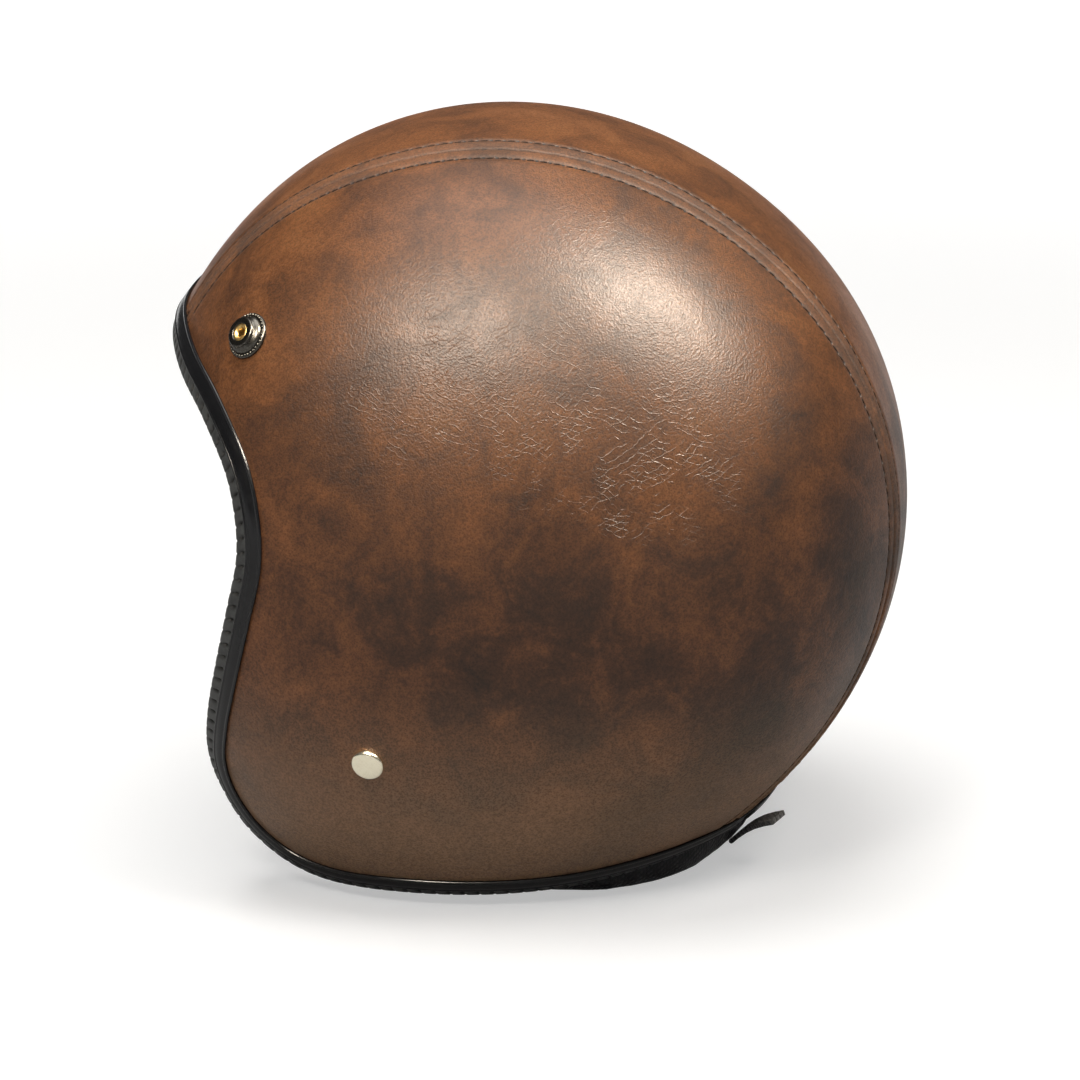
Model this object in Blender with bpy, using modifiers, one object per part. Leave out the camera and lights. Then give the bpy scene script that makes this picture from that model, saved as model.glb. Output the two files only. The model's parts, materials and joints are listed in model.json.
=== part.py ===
import math

import bmesh
import bpy
import numpy as np
from mathutils import Matrix, Vector
from mathutils.bvhtree import BVHTree

# Open-face motorcycle helmet, leather covered. The wearer looks along -Y, the left ear is at +X, up is +Z.
# Lengths are in metres. The ear centre is the point the outer surface is drawn round.

# Outer form
half_width = 0.1214
profile_size = 0.1432
# Radius of the middle profile every 30 degrees, from the rear over the crown, brow and jaw
profile_shares = (0.897, 0.926, 0.950, 1.000, 1.029, 1.007, 0.973, 1.017, 1.073, 0.993, 0.895, 0.870)
fullness = 2.476
lower_fullness_loss = 0.415
surface_step = 0.0002

# Edge of the shell seen from the side, brow to nape
opening_share = 0.76816
opening_size = profile_size * opening_share
rim_stand = 0.0070
ear_height = opening_size + rim_stand
ear_setback = -0.0013
opening_shares = (
    (-1.210, 0.768), (-1.155, 0.723), (-1.086, 0.675), (-1.023, 0.614), (-0.932, 0.521), (-0.844, 0.377),
    (-0.805, 0.236), (-0.800, 0.086), (-0.840, -0.091), (-0.888, -0.280), (-0.933, -0.464), (-0.951, -0.609),
    (-0.923, -0.745), (-0.850, -0.868), (-0.732, -0.959), (-0.582, -0.998), (-0.364, -1.000), (-0.091, -1.000),
    (0.127, -0.987), (0.327, -0.955), (0.527, -0.913), (0.691, -0.873), (0.836, -0.827), (0.960, -0.790),
)
opening_steps = 12
disc_centre_shares = (0.18, 0.14)

# Seams between the leather panels
seam_offset = 0.0475
seam_brow_offset = 0.0410
seam_turn_angles = (105.0, 140.0)
welt_width = 0.0024
welt_height = 0.0009
clearance = 0.0003

# Layers, as depths under the outer leather surface
leather_thickness = 0.0012
shell_thickness = 0.0035
foam_thickness = 0.0215
liner_thickness = 0.0062
shell_depth = leather_thickness + clearance
shell_back = shell_depth + shell_thickness
foam_play = 0.0016
foam_depth = shell_back + foam_play
foam_back = foam_depth + foam_thickness
liner_depth = foam_back + clearance
liner_back = liner_depth + liner_thickness

# Grid of the layers
seam_spans = 18
edge_spans = 28
corner_weight = 0.0300
ring_count = 8
column_shares = (-1.0, -0.5, 0.0, 0.5, 1.0)
ring_sweep = math.radians(72.0)
foam_seam_spans = 14
foam_edge_spans = 20
foam_ring_count = 5

# Foam and liner keep back from the shell edge
foam_margin = 0.0215
foam_ear_level = -0.0430
foam_ear_rear = 0.0380
foam_nape_run = 0.0360
foam_nape_drop = 0.0480

# Rubber edge trim, drawn in its own section: along the surface past the shell edge, and depth
trim_leg = 0.0052
trim_lip = 0.0008
trim_proud = 0.0018
trim_nose = 0.0065
trim_corner_gain = 0.0045
trim_corner_levels = (-0.0830, -0.0950)
trim_corner_reach = (-0.0600, -0.0850)
trim_wall = 0.0016
trim_back_leg = 0.0020
trim_slot_flare = 0.0015
trim_slot_play = 0.0013
trim_lip_flare = 0.0001
trim_back = shell_back + clearance + trim_wall
trim_round = 0.0018
base_flat = 0.0

# Padded rolls inside the trim
roll_gap = 0.0004
roll_front = trim_back + roll_gap
roll_back = 0.0200
roll_tuck_slope = 0.45
roll_round = 0.0055
roll_top_slope = 0.16
brow_roll_top = 0.0156
brow_roll_low = -0.0005
brow_roll_end = -0.0330
neck_roll_start = -0.0040
neck_roll_size = 0.0240
neck_roll_rise = (0.0050, 0.0090)
# Section of the neck roll as shares of its size: along the surface past the edge, and depth.
# It stays inside the rim at the ears and bulges out under the rim at the nape.
neck_roll_inner_shares = (
    (-0.69, 0.35), (-0.20, 0.31), (0.16, 0.31), (0.27, 0.32), (0.32, 0.32), (0.36, 0.33), (0.44, 0.34), (0.66, 0.37),
    (0.86, 0.46), (0.96, 0.66), (0.84, 0.90), (0.46, 1.06), (-0.17, 1.10), (-0.55, 1.03),
)
neck_roll_bulge_shares = (
    (-0.69, 0.35), (-0.20, 0.31), (0.16, 0.31), (0.28, 0.28), (0.34, 0.15), (0.36, -0.04), (0.48, -0.16), (0.74, -0.18),
    (0.99, -0.02), (1.14, 0.40), (0.98, 0.84), (0.46, 1.06), (-0.17, 1.10), (-0.55, 1.03),
)

# Cheek pads
cheek_margin = 0.0065
cheek_rear = -0.0110
cheek_top = -0.0465
cheek_gap = 0.0010
cheek_back = 0.0290
cheek_edge_back = 0.0140
cheek_spans = 26
cheek_rings = 3
pocket_depth = 0.0130
pocket_half_width = 0.0125
pocket_rise = 0.0090
pocket_reach = 0.0680
pocket_spans = 6

# Snap fasteners on the brow
snap_height_angle = 138.1
snap_across_share = 0.6738
snap_across = half_width * snap_across_share
snap_ring_radius = 0.0079
snap_ring_height = 0.0013
snap_seat = 0.00015
snap_hole = 0.0026
eyelet_radius = 0.0022
eyelet_bore = 0.0015
eyelet_flange = 0.0034
eyelet_flange_height = 0.0005
stud_base_radius = 0.0066
stud_neck_radius = 0.0046
stud_cap_radius = 0.0053
stud_height = 0.0044
stud_bore = 0.0031
turn_steps = 20

# Strap rivets
rivet_back = -0.0488
rivet_drop = -0.0568
rivet_radius = 0.0056
rivet_head = 0.0020
rivet_shank = 0.0016
rivet_hole = 0.0019
rivet_tail_radius = 0.0030
rivet_tail_height = 0.0008
washer_radius = 0.0050
washer_height = 0.0009

# Chin strap webbing
strap_width = 0.0200
strap_thickness = 0.0018
strap_centre_depth = 0.0076
strap_exit_depth = 0.0105
strap_top_rise = 0.0100
strap_exit_reach = 0.0060
strap_axis_gap = 0.0012
strap_rise = math.radians(8.0)
ring_from_middle = 0.0171
tail_from_middle = 0.0111
strap_return_share = 0.48
strap_lean_share = 2.4
end_shares = ((0.95, 0.31), (0.62, 0.78))
strap_pad_share = 0.56
strap_pad_width = 0.0240
strap_pad_height = 0.0036
strap_pad_start = 0.0080
tail_share = 0.79
tail_cap_radius = 0.0045
tail_cap_height = 0.0012

# D-rings
ring_wire = 0.0013
ring_side_play = 0.0005
ring_bar_half = strap_width / 2.0 + ring_wire + ring_side_play
ring_reach = 0.0185
ring_bar_spacing = 0.0030
ring_slack = 0.0003

# Tab at the rear rim, its bend drawn in the section of the rim
tab_across = 0.0330
tab_width = 0.0090
tab_thickness = 0.0018
tab_size = 0.0100
tab_shares = ((1.15, -0.53), (0.80, -0.53), (0.40, -0.56), (0.00, -0.64), (-0.40, -0.78), (-0.75, -0.94))

# Clean file and collections
for old in list(bpy.data.objects):
    bpy.data.objects.remove(old, do_unlink=True)
helmet = bpy.data.collections.new("open_face_helmet")
bpy.context.scene.collection.children.link(helmet)
cutters = bpy.data.collections.new("cutters")
bpy.context.scene.collection.children.link(cutters)
materials = {}


def material(name, colour, roughness, metallic=0.0):
    if name not in materials:
        made = bpy.data.materials.new(name)
        made.use_nodes = True
        node = made.node_tree.nodes["Principled BSDF"]
        node.inputs["Base Color"].default_value = (*colour, 1.0)
        node.inputs["Roughness"].default_value = roughness
        node.inputs["Metallic"].default_value = metallic
        made.diffuse_color = (*colour, 1.0)
        materials[name] = made
    return materials[name]


brown = (0.170, 0.068, 0.032)
black_rubber = (0.012, 0.012, 0.013)
black_cloth = (0.020, 0.020, 0.022)
foam_black = (0.030, 0.030, 0.032)
shell_grey = (0.110, 0.110, 0.112)
black_nickel = (0.085, 0.085, 0.080)
pale_gold = (0.790, 0.730, 0.560)
brass = (0.640, 0.480, 0.200)
steel = (0.560, 0.560, 0.550)


def link(thing, name, look, home=None):
    thing.name = name
    thing.data.name = name
    (home or helmet).objects.link(thing)
    if look is not None:
        thing.data.materials.append(look)
    return thing


def finish(work, name, look, smooth=True, home=None):
    bmesh.ops.recalc_face_normals(work, faces=work.faces)
    if work.calc_volume(signed=True) < 0.0:
        bmesh.ops.reverse_faces(work, faces=work.faces)
    bmesh.ops.triangulate(work, faces=work.faces)
    mesh = bpy.data.meshes.new(name)
    work.to_mesh(mesh)
    work.free()
    if smooth:
        mesh.shade_smooth()
        mesh.set_sharp_from_angle(angle=math.radians(38.0))
    return link(bpy.data.objects.new(name, mesh), name, look, home)


# Middle profile as a closed smooth curve through its named radii
def profile_bends():
    count = len(profile_shares)
    span = 2.0 * math.pi / count
    radii = np.array(profile_shares) * profile_size
    matrix = np.zeros((count, count))
    for i in range(count):
        matrix[i, i] = 4.0
        matrix[i, (i + 1) % count] = 1.0
        matrix[i, (i - 1) % count] = 1.0
    right = 6.0 * (np.roll(radii, -1) - 2.0 * radii + np.roll(radii, 1)) / span ** 2
    return radii, np.linalg.solve(matrix, right), span


profile_radii, profile_bend, profile_span = profile_bends()


def profile_radius(angle):
    place = (angle % (2.0 * math.pi)) / profile_span
    i = int(place) % len(profile_shares)
    j = (i + 1) % len(profile_shares)
    u = place - int(place)
    v = 1.0 - u
    cube = (profile_bend[i] * (v ** 3 - v) + profile_bend[j] * (u ** 3 - u)) * profile_span ** 2 / 6.0
    return float(profile_radii[i] * v + profile_radii[j] * u + cube)


def power(angle):
    return fullness - lower_fullness_loss * max(0.0, -math.sin(angle)) ** 2


def column_radius(angle, across):
    p = power(angle)
    share = min(abs(across) / half_width, 1.0)
    return profile_radius(angle) * (1.0 - share ** p) ** (1.0 / p)


def lift(y, z):
    angle = math.atan2(z, y)
    p = power(angle)
    share = min(math.hypot(y, z) / profile_radius(angle), 1.0)
    return Vector((half_width * (1.0 - share ** p) ** (1.0 / p), y, z))


def level(x, y, z):
    angle = math.atan2(z, y)
    p = power(angle)
    return (math.hypot(y, z) / profile_radius(angle)) ** p + (abs(x) / half_width) ** p


def normal(point):
    x, y, z = point
    s = surface_step
    way = Vector((level(x + s, y, z) - level(x - s, y, z),
                  level(x, y + s, z) - level(x, y - s, z),
                  level(x, y, z + s) - level(x, y, z - s)))
    return way.normalized()


def seam_across(angle, shift):
    low, high = (math.radians(a) for a in seam_turn_angles)
    u = min(max(((angle % (2.0 * math.pi)) - low) / (high - low), 0.0), 1.0)
    if angle % (2.0 * math.pi) > math.radians(200.0):
        u = 0.0
    ease = u * u * (3.0 - 2.0 * u)
    return seam_offset + (seam_brow_offset - seam_offset) * ease + shift


# Shell edge seen from the side as a dense smooth line
def smooth_line(points, steps):
    line = []
    for i in range(1, len(points) - 2):
        a, b, c, d = (np.array(points[k]) for k in (i - 1, i, i + 1, i + 2))
        for k in range(steps):
            u = k / steps
            line.append(0.5 * (2.0 * b + (c - a) * u + (2.0 * a - 5.0 * b + 4.0 * c - d) * u ** 2
                               + (3.0 * b - a - 3.0 * c + d) * u ** 3))
    line.append(np.array(points[-2]))
    return line


opening_line = smooth_line([(y * opening_size, z * opening_size) for y, z in opening_shares], opening_steps)


def edge_line(margin):
    if margin == 0.0:
        return opening_line
    count = len(opening_line)
    middle = [share * opening_size for share in disc_centre_shares]
    lifted = [lift(*p) for p in opening_line]
    moved = []
    outward = []
    for i in range(count):
        if lifted[i].x < seam_brow_offset * 0.6:
            outward.append(None)
            continue
        along = lifted[min(i + 1, count - 1)] - lifted[max(i - 1, 0)]
        side = along.cross(normal(lifted[i]))
        side.normalize()
        if side.y * (lifted[i].y - middle[0]) + side.z * (lifted[i].z - middle[1]) < 0.0:
            side.negate()
        outward.append(side)
    known = [i for i in range(count) if outward[i] is not None]
    for i in range(count):
        near = i if outward[i] is not None else (known[0] if i < known[0] else known[-1])
        side = outward[near]
        moved.append(opening_line[i] - margin * np.array((side.y, side.z)))
    return moved


def crossing(line, shift, share, front):
    middle = len(line) // 2
    walk = range(middle, 0, -1) if front else range(middle, len(line) - 1)
    step = -1 if front else 1

    def miss(p):
        angle = math.atan2(p[1], p[0])
        return math.hypot(p[0], p[1]) - column_radius(angle, seam_across(angle, shift) * share)

    for i in walk:
        a, b = line[i], line[i + step]
        if miss(a) < 0.0 <= miss(b):
            low, high = 0.0, 1.0
            for _ in range(40):
                mid = 0.5 * (low + high)
                if miss(a + (b - a) * mid) < 0.0:
                    low = mid
                else:
                    high = mid
            return a + (b - a) * low, i
    raise ValueError("edge does not reach the column")


# Stations along one side of the edge between its two seam crossings
def edge_stations(line, shift, spans):
    start, i = crossing(line, shift, 1.0, True)
    end, j = crossing(line, shift, 1.0, False)
    run = [start] + [line[k] for k in range(i, j + 1)] + [end]
    space = [lift(*p) for p in run]
    far = [0.0]
    for k in range(1, len(space)):
        turn = 0.0
        if k > 1 and (space[k] - space[k - 1]).length > surface_step:
            turn = (space[k] - space[k - 1]).angle(space[k - 1] - space[k - 2], 0.0)
        far.append(far[-1] + (space[k] - space[k - 1]).length + turn * corner_weight)
    stations = []
    for k in range(spans + 1):
        goal = far[-1] * k / spans
        stations.append(np.array([np.interp(goal, far, [p[c] for p in run]) for c in (0, 1)]))
    return stations


def angle_of(p):
    return math.atan2(p[1], p[0]) % (2.0 * math.pi)


def column(line, shift, share, spans):
    brow = angle_of(crossing(line, shift, share, True)[0])
    nape = angle_of(crossing(line, shift, share, False)[0]) - 2.0 * math.pi
    points = []
    for k in range(spans + 1):
        angle = brow + (nape - brow) * k / spans
        across = seam_across(angle, shift) * share
        radius = column_radius(angle, across)
        points.append(Vector((across, radius * math.cos(angle), radius * math.sin(angle))))
    return points


# Surface patches: a disc on each side and a strip over the middle, all on the outer leather surface
def add_disc(work, line, shift, side, seams, edges, rings):
    rim = edge_stations(line, 0.0, edges)
    seam = [(p.y, p.z) for p in column(line, 0.0, 1.0, seams)]
    loop = [np.array(p) for p in seam[:-1]] + list(reversed(rim))[:-1]
    border = [np.array((p.y, p.z)) for p in column(line, shift, 1.0, seams)]
    outer_loop = border + loop[len(border):]
    centre = np.array(disc_centre_shares) * opening_size
    middle = lift(*centre)
    middle.x *= side
    hub = work.verts.new(middle)
    inner = None
    for k in range(1, rings + 1):
        share = math.sin(ring_sweep * k / rings) / math.sin(ring_sweep)
        ring = []
        for p in (outer_loop if k == rings else loop):
            point = lift(*(centre + (p - centre) * share))
            point.x *= side
            ring.append(work.verts.new(point))
        for i in range(len(ring)):
            j = (i + 1) % len(ring)
            if inner is None:
                work.faces.new((hub, ring[i], ring[j]))
            else:
                work.faces.new((inner[i], ring[i], ring[j], inner[j]))
        inner = ring


def add_strip(work, line, shift, seams):
    grid = []
    for share in column_shares:
        move = shift if abs(share) == 1.0 else 0.0
        grid.append([work.verts.new(p) for p in column(line, move, share, seams)])
    for a, b in zip(grid[:-1], grid[1:]):
        for k in range(seams):
            work.faces.new((a[k], a[k + 1], b[k + 1], b[k]))


# Closed layer between two depths under a surface
def layer(surface, name, outer, inner, look, smooth=True):
    bmesh.ops.remove_doubles(surface, verts=surface.verts, dist=clearance / 30.0)
    bmesh.ops.triangulate(surface, faces=surface.faces, quad_method='FIXED')
    surface.verts.ensure_lookup_table()
    surface.verts.index_update()
    work = bmesh.new()
    top = []
    low = []
    lift_up = Vector((0.0, ear_setback, ear_height))
    for vert in surface.verts:
        way = normal(vert.co)
        top.append(work.verts.new(vert.co - outer * way + lift_up))
        low.append(work.verts.new(vert.co - inner * way + lift_up))
    for face in surface.faces:
        ids = [v.index for v in face.verts]
        work.faces.new([top[i] for i in ids])
        work.faces.new([low[i] for i in reversed(ids)])
    for edge in surface.edges:
        if len(edge.link_faces) == 1:
            i, j = edge.verts[0].index, edge.verts[1].index
            work.faces.new((top[i], top[j], low[j], low[i]))
    surface.free()
    return finish(work, name, look, smooth)


def whole_surface(margin, seams, edges, rings, line=None):
    work = bmesh.new()
    line = edge_line(margin) if line is None else line
    for side in (1.0, -1.0):
        add_disc(work, line, 0.0, side, seams, edges, rings)
    add_strip(work, line, 0.0, seams)
    return work


leather = material("brown_leather", brown, 0.45)
rubber = material("black_rubber", black_rubber, 0.30)
cloth = material("black_padding", black_cloth, 0.80)
webbing_look = material("black_webbing", black_cloth, 0.85)
nickel = material("black_nickel", black_nickel, 0.25, 1.0)
gold = material("pale_gold", pale_gold, 0.20, 1.0)
brass_look = material("brass", brass, 0.30, 1.0)
steel_look = material("steel", steel, 0.30, 1.0)

# Shell
shell = layer(whole_surface(0.0, seam_spans, edge_spans, ring_count), "shell", shell_depth, shell_back,
              material("shell_composite", shell_grey, 0.60))

# Leather panels, parted at the welts
panel_gap = welt_width / 2.0 + clearance
leather_panels = {}
for side, name in ((1.0, "leather_left"), (-1.0, "leather_right")):
    patch = bmesh.new()
    add_disc(patch, opening_line, panel_gap, side, seam_spans, edge_spans, ring_count)
    leather_panels[name] = layer(patch, name, 0.0, leather_thickness, leather)
patch = bmesh.new()
add_strip(patch, opening_line, -panel_gap, seam_spans)
leather_panels["leather_centre"] = layer(patch, "leather_centre", 0.0, leather_thickness, leather)


# Spot in a section at a station: back from the edge it follows the surface, past the edge it runs straight
def section_spot(station, reach, depth):
    point, side, way = station
    if reach >= 0.0:
        return point + side * reach - way * depth
    near = point + side * reach
    near = near * level(*near) ** (-1.0 / power(math.atan2(near.z, near.y)))
    return near - normal(near) * depth


# Sweep of a closed section: each station is a point, the way along the surface and the outer normal
def sweep(name, stations, sections, closed, look, floor=None):
    work = bmesh.new()
    lift_up = Vector((0.0, ear_setback, ear_height))
    rows = []
    for station, section in zip(stations, sections):
        row = []
        for reach, depth in section:
            spot = section_spot(station, reach, depth) + lift_up
            if floor is not None:
                spot.z = max(spot.z, floor)
            row.append(work.verts.new(spot))
        rows.append(row)
    count = len(rows[0])
    last = len(rows) if closed else len(rows) - 1
    for k in range(last):
        a, b = rows[k], rows[(k + 1) % len(rows)]
        for i in range(count):
            j = (i + 1) % count
            work.faces.new((a[i], a[j], b[j], b[i]))
    if not closed:
        work.faces.new(rows[0])
        work.faces.new(list(reversed(rows[-1])))
    return finish(work, name, look)


def frames(points, closed, outward):
    made = []
    count = len(points)
    for i in range(count):
        if closed:
            along = points[(i + 1) % count] - points[i - 1]
        else:
            along = points[min(i + 1, count - 1)] - points[max(i - 1, 0)]
        way = normal(points[i])
        made.append((points[i], along.cross(way).normalized(), way))
    if sum(side.dot(outward(point)) for point, side, _ in made) < 0.0:
        for _, side, _ in made:
            side.negate()
    return made


# Welts standing in the seams, ending where the edge trim covers them
welt_half = welt_width / 2.0
welt_section = (
    (-welt_half, leather_thickness), (-welt_half, -welt_height * 0.35), (-welt_half * 0.6, -welt_height * 0.85),
    (0.0, -welt_height), (welt_half * 0.6, -welt_height * 0.85), (welt_half, -welt_height * 0.35),
    (welt_half, leather_thickness),
)
for side, name in ((1.0, "seam_welt_left"), (-1.0, "seam_welt_right")):
    ends = column(edge_line(trim_leg + clearance), 0.0, side, 1)
    run = [ends[0]] + column(opening_line, 0.0, side, seam_spans)[1:-1] + [ends[1]]
    sweep(name, frames(run, False, lambda p: Vector((1.0, 0.0, 0.0))), [welt_section] * len(run), False, leather)

# Stations round the whole shell edge, from the brow middle down the left side and back up the right
brow_half = [crossing(opening_line, 0.0, share, True)[0] for share in column_shares if share > 0.0][:-1]
nape_half = [crossing(opening_line, 0.0, share, False)[0] for share in column_shares if share > 0.0][:-1]
left_edge = edge_stations(opening_line, 0.0, edge_spans)


def across_point(p, share):
    angle = angle_of(p)
    return Vector((seam_across(angle, 0.0) * share, p[0], p[1]))


shares_in = [share for share in column_shares if 0.0 < share < 1.0]
left_run = [across_point(crossing(opening_line, 0.0, 0.0, True)[0], 0.0)]
left_run += [across_point(p, s) for p, s in zip(brow_half, shares_in)]
left_run += [lift(*p) for p in left_edge]
left_run += [across_point(p, s) for p, s in zip(reversed(nape_half), reversed(shares_in))]
left_run += [across_point(crossing(opening_line, 0.0, 0.0, False)[0], 0.0)]
right_run = [Vector((-p.x, p.y, p.z)) for p in reversed(left_run[1:-1])]
rim_points = left_run + right_run
rim_centre = Vector((0.0, 0.0, 0.0))
rim_frames = frames(rim_points, True, lambda p: Vector((0.0, p.y, p.z)))
left_count = len(left_run)

# Edge trim: a channel of rubber over the leather and shell edge, its nose longest at the lower front corners
def span_share(value, span):
    return min(max((value - span[0]) / (span[1] - span[0]), 0.0), 1.0)


def trim_section(point):
    down = span_share(point.z, trim_corner_levels)
    forward = span_share(point.y, trim_corner_reach)
    nose = trim_nose + trim_corner_gain * down * forward
    return (
        (-trim_leg, -clearance - trim_lip_flare), (-trim_leg, -clearance - trim_lip), (-trim_leg + trim_lip, -trim_proud),
        (clearance, -trim_proud), (nose - trim_round, -trim_proud + trim_lip / 2.0),
        (nose - trim_round / 3.0, trim_round / 2.0), (nose, trim_back / 2.0),
        (nose - trim_round / 2.0, trim_back - trim_round), (nose - 1.4 * trim_round, trim_back),
        (-trim_back_leg, trim_back), (-trim_back_leg, shell_back + trim_slot_flare),
        (clearance, shell_back + trim_slot_play), (clearance, -clearance),
    )


sweep("edge_trim", rim_frames, [trim_section(point) for point in rim_points], True, rubber,
      floor=base_flat)


# Foam liner in three mouldings, cut up over the ears, and the cloth liner inside it
def foam_line(margin):
    line = []
    for y, z in edge_line(margin):
        run = (y - foam_ear_rear) / foam_nape_run
        floor = foam_ear_level - foam_nape_drop * max(run, 0.0)
        if z < floor and line and y <= line[-1][0]:
            continue
        line.append(np.array((y, max(z, floor))))
    return line


foam_look = material("foam", foam_black, 0.90)
for side, name in ((1.0, "impact_liner_left"), (-1.0, "impact_liner_right")):
    patch = bmesh.new()
    add_disc(patch, foam_line(foam_margin), clearance / 2.0, side, foam_seam_spans, foam_edge_spans, foam_ring_count)
    layer(patch, name, foam_depth, foam_back, foam_look)
patch = bmesh.new()
add_strip(patch, foam_line(foam_margin), -clearance / 2.0, foam_seam_spans)
layer(patch, "impact_liner_centre", foam_depth, foam_back, foam_look)
layer(whole_surface(0.0, foam_seam_spans, foam_edge_spans, foam_ring_count, foam_line(foam_margin)), "crown_liner",
      liner_depth, liner_back, cloth)


# Padded rolls: a rounded section along part of the rim, lower ends level with each other
def roll_section(top, low):
    tuck = (roll_back - roll_front) * roll_tuck_slope
    rear = -top + roll_back * roll_top_slope
    return (
        (-top + roll_front * roll_top_slope, roll_front), (low - roll_round * 0.7, roll_front),
        (low - roll_round * 0.1, roll_front + roll_round * 0.6), (low - tuck * 0.4, roll_front + roll_round * 1.4),
        (low - tuck * 0.8, roll_back - roll_round * 0.4), (low - tuck, roll_back - roll_round * 0.1),
        (rear + roll_round * 0.3, roll_back), (rear, roll_back - roll_round * 0.3),
    )


def shrunk(section, share):
    mid_a = sum(a for a, _ in section) / len(section)
    mid_b = sum(b for _, b in section) / len(section)
    return [(mid_a + (a - mid_a) * share, mid_b + (b - mid_b) * share) for a, b in section]


def roll(name, stations, sections):
    count = len(stations)
    ends = (0.55, 0.88)
    drawn = []
    for k in range(count):
        near = min(k, count - 1 - k)
        drawn.append(shrunk(sections[k], ends[near]) if near < len(ends) else sections[k])
    return sweep(name, stations, drawn, False, cloth, floor=base_flat)


brow_reach = [k for k in range(left_count) if rim_points[k].z > brow_roll_end and rim_points[k].y < 0.0]
brow_left = [rim_frames[k] for k in brow_reach]
brow_right = [(Vector((-p.x, p.y, p.z)), Vector((-s.x, s.y, s.z)), Vector((-n.x, n.y, n.z)))
              for p, s, n in brow_left[1:]]
brow_stations = list(reversed(brow_right)) + brow_left
roll("brow_roll", brow_stations, [roll_section(brow_roll_top, brow_roll_low)] * len(brow_stations))
nape_reach = [k for k in range(left_count) if rim_points[k].y > neck_roll_start]
nape_left = [rim_frames[k] for k in nape_reach]
nape_right = [(Vector((-p.x, p.y, p.z)), Vector((-s.x, s.y, s.z)), Vector((-n.x, n.y, n.z)))
              for p, s, n in nape_left[:-1]]
neck_stations = nape_left + list(reversed(nape_right))
neck_sections = []
for point, _, _ in neck_stations:
    low, high = neck_roll_rise
    ease = min(max((point.z + ear_height - low) / (high - low), 0.0), 1.0)
    neck_sections.append([((a + (c - a) * ease) * neck_roll_size, (b + (d - b) * ease) * neck_roll_size)
                          for (a, b), (c, d) in zip(neck_roll_inner_shares, neck_roll_bulge_shares)])
roll("neck_roll", neck_stations, neck_sections)


# Cheek pads: a cushion against the shell, hollowed for the strap
def cheek_loop():
    line = edge_line(cheek_margin)
    kept = [p for p in line if p[1] <= cheek_top and p[0] <= cheek_rear]
    far = [0.0]
    for a, b in zip(kept[:-1], kept[1:]):
        far.append(far[-1] + float(np.hypot(*(b - a))))
    border = []
    for k in range(cheek_spans):
        goal = far[-1] * k / (cheek_spans - 1)
        border.append(np.array([np.interp(goal, far, [p[c] for p in kept]) for c in (0, 1)]))
    corner = np.array((border[-1][0], border[0][1]))
    for share in (0.33, 0.67, 1.0):
        border.append(border[cheek_spans - 1] * (1.0 - share) + corner * share)
    for share in (0.25, 0.50, 0.75):
        border.append(corner * (1.0 - share) + border[0] * share)
    return border


def cushion(name, side, loop, front, edge_back, back, rings, look):
    work = bmesh.new()
    centre = sum(loop) / len(loop)
    lift_up = Vector((0.0, ear_setback, ear_height))

    def place(p, depth):
        point = lift(*p)
        point.x *= side
        return work.verts.new(point - normal(point) * depth + lift_up)

    faces = []
    for depth_at in (lambda share: front, lambda share: edge_back + (back - edge_back) * (1.0 - share ** 2.4)):
        hub = place(centre, depth_at(0.0))
        ring = None
        for k in range(1, rings + 1):
            share = k / rings
            nextring = [place(centre + (p - centre) * share, depth_at(share)) for p in loop]
            for i in range(len(loop)):
                j = (i + 1) % len(loop)
                if ring is None:
                    faces.append(work.faces.new((hub, nextring[i], nextring[j])))
                else:
                    faces.append(work.faces.new((ring[i], nextring[i], nextring[j], ring[j])))
            ring = nextring
        faces.append(ring)
    low, high = [f for f in faces if isinstance(f, list)]
    for i in range(len(loop)):
        j = (i + 1) % len(loop)
        work.faces.new((low[i], low[j], high[j], high[i]))
    return finish(work, name, look)


# Block that follows the surface between two depths, used to hollow the pads
def surface_block(name, side, back_to_front, top_to_low, shallow, deep):
    work = bmesh.new()
    lift_up = Vector((0.0, ear_setback, ear_height))
    rows = []
    for z in top_to_low:
        row = []
        for y, depth in ((back_to_front[0], shallow), (back_to_front[1], shallow),
                         (back_to_front[1], deep), (back_to_front[0], deep)):
            point = lift(y, z)
            point.x *= side
            row.append(work.verts.new(point - normal(point) * depth + lift_up))
        rows.append(row)
    for a, b in zip(rows[:-1], rows[1:]):
        for i in range(4):
            j = (i + 1) % 4
            work.faces.new((a[i], a[j], b[j], b[i]))
    work.faces.new(rows[0])
    work.faces.new(list(reversed(rows[-1])))
    block = finish(work, name, None, smooth=False, home=cutters)
    block.hide_render = True
    block.display_type = "WIRE"
    return block


def cut(thing, cutter):
    step = thing.modifiers.new(cutter.name, "BOOLEAN")
    step.operation = "DIFFERENCE"
    step.solver = "EXACT"
    step.object = cutter


pocket_top = rivet_drop + strap_top_rise + pocket_rise
pocket_levels = [pocket_top - pocket_reach * k / pocket_spans for k in range(pocket_spans + 1)]
for side, word in ((1.0, "left"), (-1.0, "right")):
    pad = cushion("cheek_pad_" + word, side, cheek_loop(), shell_back + cheek_gap, cheek_edge_back, cheek_back,
                  cheek_rings, cloth)
    pocket = surface_block("pocket_" + word, side, (rivet_back - pocket_half_width, rivet_back + pocket_half_width),
                           pocket_levels, 0.0, pocket_depth)
    cut(pad, pocket)


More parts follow.
